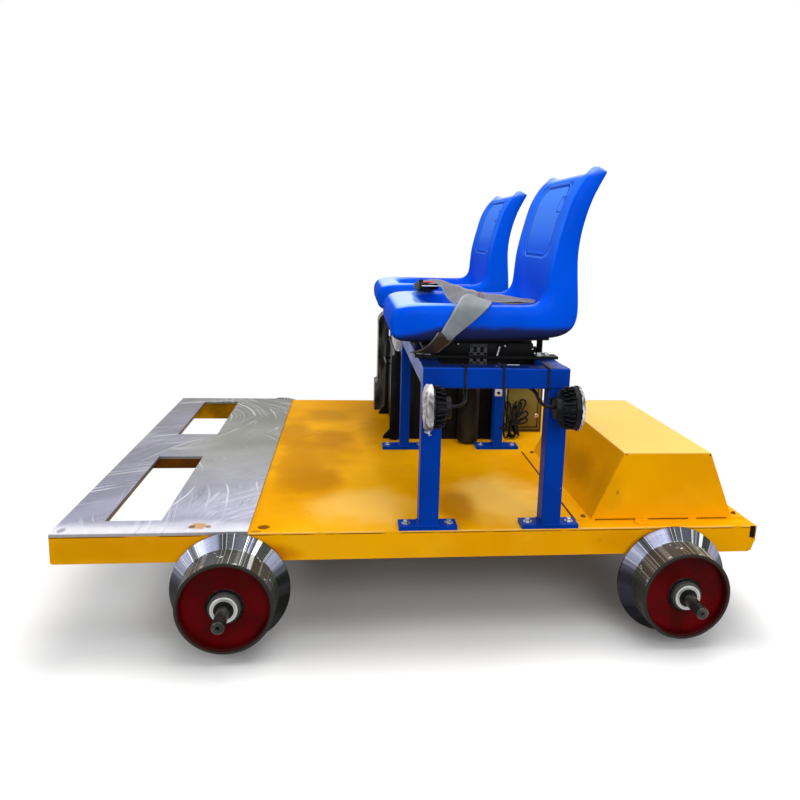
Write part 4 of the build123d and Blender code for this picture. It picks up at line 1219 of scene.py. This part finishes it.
def hank_turns():
    """Control points of the hank: each turn goes up through the tie, round its tip and down,
    and folds below the tie into the next."""
    points = [on_hank(7, 15, HANK_TURNS[0][3])]
    for count, (tip_along, tip_slope, half, out) in enumerate(HANK_TURNS):
        run, rise = tip_along - TIE_MIDDLE, tip_slope - TIE_UP
        reach = math.hypot(run, rise)
        ahead, left = (run / reach, rise / reach), (-rise / reach, run / reach)

        def point(beyond, aside):
            along = TIE_MIDDLE + ahead[0] * beyond + left[0] * aside
            slope = TIE_UP + ahead[1] * beyond + left[1] * aside
            return on_hank(along, slope, out)

        side = ((reach * 0.45, half * 0.7), (reach - half * 1.5, half), (reach - half * 0.3, half * 0.75))
        points += [on_hank(10, 30, out), on_hank(TIE_STRANDS[0], TIE_UP, out)]
        points += [point(*spot) for spot in side]
        points += [point(reach, 0)]
        points += [point(beyond, -aside) for beyond, aside in side[::-1]]
        points += [on_hank(TIE_STRANDS[1], TIE_UP, out), on_hank(33, 30, out)]
        if count < len(HANK_TURNS) - 1:
            step = (HANK_TURNS[count + 1][3] - out) / 4
            fold = ((31, 16), (21, 11), (11, 16))
            points += [on_hank(*spot, out + step * part) for part, spot in enumerate(fold, 1)]
    return points + [on_hank(*spot) for spot in HANK_EXIT] + list(GLAND_RUN)


def cord(name, route, diameter, replaced):
    """A cable along control points in the deck's millimetres."""
    curve = bpy.data.curves.new(name, "CURVE")
    curve.dimensions = "3D"
    curve.resolution_u = 8
    curve.bevel_depth = diameter / 2
    curve.bevel_resolution = 4
    curve.use_fill_caps = True
    line = curve.splines.new("NURBS")
    line.points.add(len(route) - 1)
    for point, spot in zip(line.points, route):
        point.co = (*place(*spot), 1.0)
    line.order_u = 3
    line.use_endpoint_u = True
    curve.materials.append(cable_black)
    made = bpy.data.objects.new(name, curve)
    scene.collection.objects.link(made)
    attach(made, "chassis")
    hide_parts(*replaced)
    return made


def strap_ring_into(bm, centre, size, wall, turn=None):
    """An open rectangular ring of thin strap with rounded corners, as a pulled-up tie."""
    corners = bmesh.ops.create_cube(bm, size=1.0)["verts"]
    bmesh.ops.scale(bm, vec=size, verts=corners)
    edges = {edge for corner in corners for edge in corner.link_edges}
    upright = [edge for edge in edges if abs((edge.verts[0].co - edge.verts[1].co).z) > size[2] * 0.9]
    caps = {face for corner in corners for face in corner.link_faces if abs(face.normal.z) > 0.9}
    bmesh.ops.delete(bm, geom=list(caps), context="FACES_ONLY")
    made = round_edges(bm, upright, min(size[:2]) * 0.3, 4)
    faces = list({face for vertex in made["verts"] for face in vertex.link_faces})
    verts = list({vertex for face in faces for vertex in face.verts})
    if turn:
        bmesh.ops.rotate(bm, cent=(0, 0, 0), matrix=turn, verts=verts)
    bmesh.ops.translate(bm, vec=centre, verts=verts)
    bmesh.ops.recalc_face_normals(bm, faces=faces)
    bmesh.ops.solidify(bm, geom=faces, thickness=wall)


lamp_cord = cord("lamp_cord", LAMP_CABLE_ROUTE, LAMP_CABLE_SIZE, ("lamp_cable",))
tuple(place(*LAMP_CABLE_ROUTE[0]))
supply_route = SUPPLY_CABLE_ROUTE + tuple(hank_turns())
supply_cord = cord("supply_cord", supply_route, SUPPLY_CABLE_SIZE, ("supply_cable", "cable_hank"))


def hank_tie(bm):
    """The pulled-up tie round the middle of the hank."""
    lean = Matrix.Rotation(math.atan2(HANK_SLOPE[0], HANK_SLOPE[1]), 3, "X").inverted()
    strap_ring_into(bm, place(*on_hank(TIE_MIDDLE, TIE_UP, 0)), (0.0155, 0.0335, 0.005), 0.0012, lean)


hank_band = fittings("hank_tie", hank_tie, "black_plastic", black_moulded)
tuple(place(*SUPPLY_CABLE_ROUTE[0]))

# ---- work lamps --------------------------------------------------------------------------------
LAMP_OFFSET = -58.0
LAMP_HEIGHT = 311.0
LAMP_BODY = (
    (7, 0), (7, 44), (9, 47.5), (13, 49.2), (20, 49.2), (24, 48), (26, 43), (30, 40), (38, 36),
    (44, 32.5), (48, 29), (50, 25.5), (53, 24.5), (60.5, 24.5), (62, 23), (62, 0),
)
FIN_COUNT = 22
FILM_TURNS = 72
FILM_THICK = 0.0005


def lamp(name, lens_station, facing, wrap):
    """A finned work lamp, facing -1 forwards or 1 back, with its lens still in its film, which
    reaches wrap millimetres down its side."""
    lens = place(lens_station, LAMP_OFFSET, LAMP_HEIGHT)
    inward = Vector((-facing, 0, 0))

    def body(bm):
        spin_into(bm, LAMP_BODY, lens, inward, 64)
        for count in range(FIN_COUNT):
            turn = Matrix.Rotation(math.tau * count / FIN_COUNT, 3, "X")
            for depth, reach, length in ((32, 40, 0.013), (42, 35, 0.012)):
                centre = lens + inward * (depth / 1000) + turn @ Vector((0, 0, reach / 1000))
                block_into(bm, centre, (length, 0.0026, 0.016), 0.0009, 1, turn)
        spin_into(bm, ((61, 0), (61, 17), (64, 15.5), (64, 0)), lens - inward * 0.003, inward, 32)

    fittings(name, body, "black_plastic", lamp_black, replaces=(name,))

    def glass(bm):
        spin_into(bm, ((3.2, 0), (3.4, 20), (4.4, 34), (6.4, 42), (8.5, 43), (8.5, 0)), lens, inward, 64)

    fittings(f"{name}_lens", glass, "black_plastic", lens_glass)

    def film(bm):
        face = ((1.2, 0), (1.4, 14), (2.0, 26), (3.2, 36), (4.6, 43.5), (6.5, 47.2))
        skirt = tuple((6.5 + (wrap - 6.5) * share, 49.4 + 0.6 * share) for share in (0.25, 0.5, 0.75, 1.0))
        spin_into(bm, face + skirt, lens, inward, FILM_TURNS)
        bmesh.ops.remove_doubles(bm, verts=bm.verts, dist=0.000002)
        bmesh.ops.subdivide_edges(bm, edges=bm.edges, cuts=1, use_grid_fill=True)
        for vertex in bm.verts:
            away = vertex.co - lens
            drawn = Vector((away.x, away.y, away.z * 0.45))
            crease = noise.noise(drawn * 150 + Vector((facing * 7, 0, 0))) + 0.5 * noise.noise(drawn * 320)
            radius = math.hypot(away.y, away.z)
            sharp = abs(crease) - 0.25
            rim = smoothstep(0.036, 0.048, radius)
            vertex.co -= inward * (sharp * 0.0026 * (1 - rim * 0.2))
            if radius > 0.03:
                vertex.co += Vector((0, away.y, away.z)) / radius * (sharp * 0.0016 * rim + 0.0006)

    made = fittings(f"{name}_film", film, "black_plastic", silver_film, None)
    modify(made, "SOLIDIFY", thickness=FILM_THICK, offset=1.0)


lamp("headlamp_front", 815.0, -1, 20)
lamp("headlamp_rear", 1173.0, 1, 13)


def film_end_point(down, share):
    """A point on the loose end of the front lamp's film, which hangs below its rim."""
    width = 30 * (1 - down * 0.75)
    curl = 3.0 * math.sin(down * 5 + share * 4)
    return place(828 + down * 5 + curl + share * width * 0.5, -66 + share * width, 262 - down * 13)


film_rows = [[film_end_point(row / 8, column / 6 - 0.5) for column in range(7)] for row in range(9)]
film_end = piece("headlamp_front_film_end", closed(grid_of_points(film_rows)), silver_film)
modify(film_end, "SOLIDIFY", thickness=FILM_THICK)

# ---- bolts, welds and small fittings -----------------------------------------------------------
# Each row of legs: its near side, its depth, the stations of its two legs, and their width.
LEG_ROWS = (
    (0.0, 47.0, (843.5, 1137.5), 47.0),
    (646.0, 50.0, (835.0, 1139.0), 30.0),
    (1293.0, 47.0, (843.5, 1137.5), 47.0),
)
FOOT_TOP = 10.0
FOOT_BOLT_OUT = 51.0
UP = Vector((0, 0, 1))
NEARWARD = Vector((0, -1, 0))


def foot_bolts(bm):
    """Two bolts through each foot plate, ahead of its leg and behind it."""
    for offset, depth, stations, _ in LEG_ROWS:
        for station in stations:
            for side in (-1, 1):
                at = place(station + side * FOOT_BOLT_OUT, offset + depth / 2, FOOT_TOP)
                bolt_into(bm, at, UP, 10, 6.5, 10.5)


def leg_welds(bm):
    """Weld beads round the foot of each leg."""
    for offset, depth, stations, width in LEG_ROWS:
        for station in stations:
            low, high = station - width / 2, station + width / 2
            corners = [(low, offset), (high, offset), (high, offset + depth), (low, offset + depth)]
            for first, second in zip(corners, corners[1:] + corners[:1]):
                bead_into(bm, place(*first, FOOT_TOP), place(*second, FOOT_TOP))


def cover_bolts(bm):
    for station, offset in ((1239, 66), (1243, 601), (1640, 73), (1452, 640), (1239, 335)):
        bolt_into(bm, place(station, offset, 3), UP, 7, 3.5, 7)


def beam_lug(bm):
    """A round weld boss at the foot of the motor cover."""
    outline = ((-2, 0), (-2, 15), (3, 15), (4.5, 13.5), (4.5, 7), (2.5, 6), (2.5, 0))
    spin_into(bm, outline, place(1374, 30, 0), UP)


def bearing_bolts(bm):
    """Bolts up through the flanges of the bearing blocks."""
    block_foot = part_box("side_beams")[0].z - 0.014
    for middle in AXLES.values():
        for side in (-1, 1):
            for ahead in (-1, 1):
                at = Vector((middle.x + ahead * 0.058, side * (DECK_HALF - 0.026), block_foot))
                bolt_into(bm, at, -UP, 13, 8, 12)


# A seat's bracket has a stud towards each end of its two bars, given by station and top, and a
# smaller bolt beyond each stud.
SEAT_SIDES = [(centre, side) for centre in SEAT_CENTRES.values() for side in (-1, 1)]
STUD_OFFSETS = [centre + side * 133 for centre, side in SEAT_SIDES]
STUDS = ((846, 430), (1124, 438))
BAR_BOLT_STATIONS = (826, 1142)
BAR_FACE = 396
STUD_FOOT = 404
STUD_RADII = (7.1, 7.9)
THREAD_PITCH = 1.6


def bracket_nuts(bm):
    for offset in STUD_OFFSETS:
        for station, _ in STUDS:
            bolt_into(bm, place(station, offset, BAR_FACE), UP, 15, 7, 13)
        for station in BAR_BOLT_STATIONS:
            bolt_into(bm, place(station, offset, BAR_FACE), UP, 9, 5, 9)


def bracket_studs(bm):
    """Threaded studs between the bars and the straps, with their thread turns."""
    root, crest = STUD_RADII
    for offset in STUD_OFFSETS:
        for station, top in STUDS:
            outline = [(0, 0)]
            turns = int((top - STUD_FOOT) / THREAD_PITCH)
            for count in range(turns):
                outline += [(count * THREAD_PITCH, root), ((count + 0.5) * THREAD_PITCH, crest)]
            outline += [(turns * THREAD_PITCH, root), (turns * THREAD_PITCH, 0)]
            spin_into(bm, outline, place(station, offset, STUD_FOOT), UP, 24)


def lamp_bolts(bm):
    for station in (855, 1133):
        outline = ((0, 0), (0, 8.5), (3, 8.5), (4.5, 7), (4.5, 0))
        spin_into(bm, outline, place(station, -24, LAMP_HEIGHT), NEARWARD, 32)
    for station in (830, 1150):
        bolt_into(bm, place(station, -6, LAMP_HEIGHT), NEARWARD, 7, 4, 7)


def lid_bolts(bm):
    low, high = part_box("power_pack_lid")
    for x_share in (0.04, 0.5, 0.96):
        for y_share in (0.03, 0.35, 0.65, 0.97):
            at = Vector((low.x + (high.x - low.x) * x_share, low.y + (high.y - low.y) * y_share, high.z))
            bolt_into(bm, at, UP, 6, 3.5, 7)


def pack_ribs(bm):
    """Pressed ribs and corner angles on the four sides of the power pack."""
    low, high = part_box("power_pack")
    middle = (low + high) / 2
    height = high.z - low.z
    for count in range(5):
        x = low.x + (high.x - low.x) * (count + 1) / 6
        for y in (low.y, high.y):
            block_into(bm, Vector((x, y, middle.z - 0.01)), (0.018, 0.006, height * 0.78), 0.0025, 2)
    for count in range(5):
        y = low.y + (high.y - low.y) * (count + 1) / 6
        for x in (low.x, high.x):
            block_into(bm, Vector((x, y, middle.z - 0.01)), (0.006, 0.018, height * 0.78), 0.0025, 2)
    for x in (low.x, high.x):
        for y in (low.y, high.y):
            block_into(bm, Vector((x, y, middle.z)), (0.03, 0.03, height - 0.004), 0.003, 2)


def pack_handles(bm):
    low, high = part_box("power_pack")
    for x in (low.x, high.x):
        out = -1 if x == low.x else 1
        for y in (-0.06, 0.06):
            centre = Vector((x + out * 0.012, (low.y + high.y) / 2 + y, high.z - 0.05))
            block_into(bm, centre, (0.024, 0.009, 0.009), 0.003, 2)
        grip = Vector((x + out * 0.022, (low.y + high.y) / 2, high.z - 0.05))
        block_into(bm, grip, (0.009, 0.13, 0.011), 0.0035, 3)


def charger_vents(bm):
    low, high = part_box("charger")
    for count in range(9):
        y = low.y + 0.03 + count * 0.018
        block_into(bm, Vector(((low.x + high.x) / 2, y, high.z)), (0.06, 0.006, 0.003), 0.0012, 2)
    for y in (low.y + 0.012, high.y - 0.012):
        for x in (low.x + 0.012, high.x - 0.012):
            bolt_into(bm, Vector((x, y, high.z - 0.0006)), UP, 3, 1.8, 3.6)


CONTROL_LOW, CONTROL_HIGH = place(1196, 860, 0), place(1340, 990, 190)


def control_door(bm):
    """The door and its pressed border on the control box's near side and end."""
    low, high = CONTROL_LOW, CONTROL_HIGH
    middle = (low + high) / 2
    block_into(bm, Vector((middle.x, low.y - 0.0015, middle.z)), (0.128, 0.006, 0.172), 0.002, 2)
    block_into(bm, Vector((middle.x, low.y - 0.0045, middle.z)), (0.106, 0.004, 0.148), 0.0015, 2)
    block_into(bm, Vector((high.x, middle.y, middle.z)), (0.006, 0.108, 0.172), 0.002, 2)
    block_into(bm, Vector((middle.x, middle.y, high.z)), (0.15, 0.136, 0.006), 0.0025, 2)


def control_hinges_and_lock(bm):
    face = CONTROL_LOW.y - 0.006
    for height in (45, 145):
        at = place(1205, 0, height)
        spin_into(bm, ((-12, 0), (-12, 3.4), (12, 3.4), (12, 0)), Vector((at.x, face + 0.002, at.z)), UP, 20)
    lock = place(1318, 0, 60)
    outline = ((0, 0), (0, 8), (3, 8), (4, 7), (4, 3.2), (2.6, 3.2), (2.6, 0))
    spin_into(bm, outline, Vector((lock.x, face + 0.001, lock.z)), NEARWARD, 32)


def cable_gland(bm):
    at = place(1240, 862, 95)
    outline = ((0, 0), (0, 10.5), (5, 10.5), (5, 8.2), (8, 8.6), (15, 7.4), (19, 4.4), (20, 0))
    spin_into(bm, outline, at, NEARWARD, 32)
    spin_into(bm, ((1, 0), (1, 12.5), (4.5, 12.5), (4.5, 0)), at, NEARWARD, 6)


def leg_clip(bm):
    """A pale cable clip on the back face of the middle rear leg."""
    block_into(bm, place(1133, 643, 190), (0.024, 0.007, 0.023), 0.0018, 2)


def leg_clip_eye(bm):
    spin_into(bm, ((0, 0), (0, 5), (1.2, 5), (1.8, 4), (1.8, 0)), place(1133, 640, 190), NEARWARD, 24)


def slide_pans(bm):
    """The pressed pans and slide rails between each seat and its bars. They are near black: their own black
    steel, and painted shade for the dark gap under each seat.
    """
    for centre in SEAT_CENTRES.values():
        block_into(bm, place(978, centre, 411), (0.256, 0.292, 0.034), 0.004, 2)
        block_into(bm, place(984, centre, 382), (0.27, 0.25, 0.026), 0.004, 2)
        for side in (-1, 1):
            block_into(bm, place(985, centre + side * 96, 401), (0.29, 0.03, 0.02), 0.002, 2)
        block_into(bm, place(846, centre, 404), (0.02, 0.25, 0.012), 0.004, 2)


SLOT_PLATE_OUT = 148


def slot_plates(bm):
    """A slotted adjusting plate on each side of the slides, down past the rail."""
    for centre, side in SEAT_SIDES:
        offset = centre + side * SLOT_PLATE_OUT
        for station in (951, 968, 985):
            block_into(bm, place(station, offset, 398), (0.0085, 0.003, 0.046), 0.0008, 1)
        for height in (421, 400, 377):
            block_into(bm, place(968, offset, height), (0.044, 0.003, 0.007), 0.0008, 1)


def slide_pins(bm):
    """Bright pins and a slanting rod of the slides, on each side of a seat."""
    for centre, side in SEAT_SIDES:
        for station, height in ((917, 424), (1033, 421), (1102, 414), (1108, 404)):
            at = place(station, centre + side * 147, height)
            spin_into(bm, ((0, 0), (0, 2.4), (5, 2.4), (6, 1.6), (6, 0)), at, (0, side, 0), 20)
        rod_foot = place(1013, centre + side * 150, 390)
        spin_into(bm, ((0, 0), (0, 2.6), (30, 2.6), (30, 0)), rod_foot, (0.25, 0, 1), 20)


def control_door_seams(bm):
    """Dark gasket lines round the control box's door and its frame."""
    middle = (CONTROL_LOW + CONTROL_HIGH) / 2
    for width, height, out in ((0.132, 0.176, 0.0), (0.11, 0.152, 0.0035)):
        for side in (-1, 1):
            face = Vector((middle.x, CONTROL_LOW.y - out, middle.z))
            upright, level = Vector((side * width / 2, 0, 0)), Vector((0, 0, side * height / 2))
            block_into(bm, face + upright, (0.0035, 0.006, height), 0.0006, 1)
            block_into(bm, face + level, (width, 0.006, 0.0035), 0.0006, 1)


def slot_edge_bars(bm):
    """Flat bars welded under the plate along the inner edge of each slot."""
    for offset in (567.5, 808.5):
        block_into(bm, place(146, offset, -17.5), (0.152, 0.004, 0.029), 0.0004, 1)


def channel_mouth_shade(bm):
    """A black plate on the beam at each end of the rear channel, where its mouth is, as painted shade in the
    mouth.
    """
    for offset in (-0.1, 1340.1):
        block_into(bm, place(1652, offset, -15), (0.0125, 0.0008, 0.03), 0.0003, 1)


def cover_edge_shadow(bm):
    """A dark strip on the deck along the front edge of the motor cover's foot, as painted shadow under that
    edge.
    """
    low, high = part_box("motor_cover")
    middle = Vector((low.x - 0.0018, (low.y + high.y) / 2, DECK_TOP + 0.0004))
    block_into(bm, middle, (0.0036, high.y - low.y, 0.0008), 0.0002, 1)


def leg_tie(bm):
    """The tie that holds the supply cable to the middle rear leg."""
    strap_ring_into(bm, place(1154, 672, 73), (0.036, 0.056, 0.006), 0.0014)


for fill, slot, surface, *angle in (
    (foot_bolts, "collar_metal", zinc),
    (leg_welds, "blue_paint", frame_blue, None),
    (cover_bolts, "axle_steel", rusty),
    (beam_lug, "yellow_paint", beam_yellow),
    (bearing_bolts, "collar_metal", zinc),
    (bracket_nuts, "collar_metal", zinc),
    (bracket_studs, "black_steel", black_enamel),
    (lamp_bolts, "collar_metal", zinc),
    (lid_bolts, "collar_metal", zinc),
    (pack_ribs, "black_steel", black_enamel),
    (pack_handles, "black_steel", black_enamel),
    (charger_vents, "pale_plastic", pale_case),
    (control_door, "cream_paint", cream_coat),
    (control_hinges_and_lock, "collar_metal", zinc),
    (cable_gland, "black_plastic", black_moulded),
    (leg_clip, "pale_plastic", pale_case),
    (leg_clip_eye, "black_plastic", black_moulded),
    (slide_pans, "black_steel", pan_black),
    (slot_plates, "black_steel", slot_grey),
    (slide_pins, "collar_metal", zinc),
    (control_door_seams, "cream_paint", seam_brown),
    (leg_tie, "black_plastic", black_moulded),
    (cover_edge_shadow, "yellow_paint", cover_edge_shadow_red),
    (channel_mouth_shade, "yellow_paint", pan_black),
    (slot_edge_bars, "yellow_paint", slot_bar_shade_brown),
):
    fittings(fill.__name__, fill, slot, surface, *angle)

# ---- floor and light -------------------------------------------------------------------------
FLOOR_HALF = 30.0
WORLD_LIGHT = 0.62
# The floor keeps the shadow this far out along X and Y, and fades to white over FLOOR_FADE.
FLOOR_SHADE = (0.84, 0.78)
FLOOR_FADE = (0.02, 0.5)
# Ahead of the front edge, on the far side, the floor is past the shadow and fades sooner.
FRONT_FADE = (FRONT_EDGE + 0.3, FRONT_EDGE + 0.12)
FAR_FADE = (-0.25, 0.05)
# A darker tone of the floor under the trolley deepens its shadow.
UNDER_SHADE = (0.78, 0.7)
UNDER_FADE = (0.2, -0.02)
UNDER_TONE = (0.6, 0.605, 0.61, 1)
FLOOR_TONE = (0.97, 0.97, 0.97, 1)
# The floor throws back less light onto the trolley than its own colour shows.
FLOOR_LIGHT = (0.2, 0.202, 0.206, 1)
WHITE = (1, 1, 1, 1)


def floor_finish():
    """A pale floor that shows the shadow round the trolley, and is plain white farther off."""
    s = Surface("floor")

    def outside(reach):
        """How far a point is outside a rectangle that reaches this far along X and Y."""
        gaps = [s.axis(letter).math("ABSOLUTE") - far for letter, far in zip("XY", reach)]
        return s.length(s.join(*(gap.math("MAXIMUM", 0.0) for gap in gaps), 0.0))

    seen = s.seen()
    ahead = s.ramp(s.axis("X"), *FRONT_FADE) * s.ramp(s.axis("Y"), *FAR_FADE)
    far_off = s.ramp(outside(FLOOR_SHADE), *FLOOR_FADE).math("MAXIMUM", ahead)
    shown = s.mix(s.ramp(outside(UNDER_SHADE), *UNDER_FADE), FLOOR_TONE, UNDER_TONE)
    s.finish(Base_Color=s.mix(seen, FLOOR_LIGHT, shown), Roughness=1.0, Specular_IOR_Level=0.0)
    white = s.node("ShaderNodeEmission", None, {"Color": WHITE, "Strength": 1.0})
    shaded = Socket(s, s.shader.outputs[0])
    fade = s.node("ShaderNodeMixShader", None, {0: far_off * seen, 1: shaded, 2: white})
    s.feed(s.tree.nodes["Material Output"].inputs["Surface"], fade)
    return s.material


floor_mesh = bpy.data.meshes.new("floor")
bm = bmesh.new()
bmesh.ops.create_grid(bm, x_segments=1, y_segments=1, size=FLOOR_HALF)
bm.to_mesh(floor_mesh)
bm.free()
floor = bpy.data.objects.new("floor", floor_mesh)
scene.collection.objects.link(floor)
floor.data.materials.append(floor_finish())

scene.world = bpy.data.worlds.new("hall")
hall = Nodes(scene.world)
background = hall.tree.nodes["Background"]
strength = hall.node("ShaderNodeMapRange", None, {"Value": hall.seen(), "To Min": WORLD_LIGHT})
hall.feed(background.inputs["Color"], WHITE)
hall.feed(background.inputs["Strength"], strength)


def softbox(name, centre, target, width, depth, watts):
    """A soft rectangular lamp at centre, turned towards target."""
    light = bpy.data.lights.new(name, "AREA")
    light.shape = "RECTANGLE"
    light.size = width
    light.size_y = depth
    light.energy = watts
    holder = bpy.data.objects.new(name, light)
    holder.location = centre
    holder.rotation_euler = (Vector(target) - Vector(centre)).to_track_quat("-Z", "Y").to_euler()
    scene.collection.objects.link(holder)


softbox("overhead", (0.7, -0.5, 3.2), (0.15, 0.0, 0.3), 3.2, 2.4, 72)
softbox("near_side", (0.9, -3.6, 1.9), (0.1, 0.0, 0.2), 2.4, 1.8, 52)
softbox("front_side", (-3.4, -1.3, 2.1), (0.0, 0.0, 0.5), 2.0, 1.6, 34)
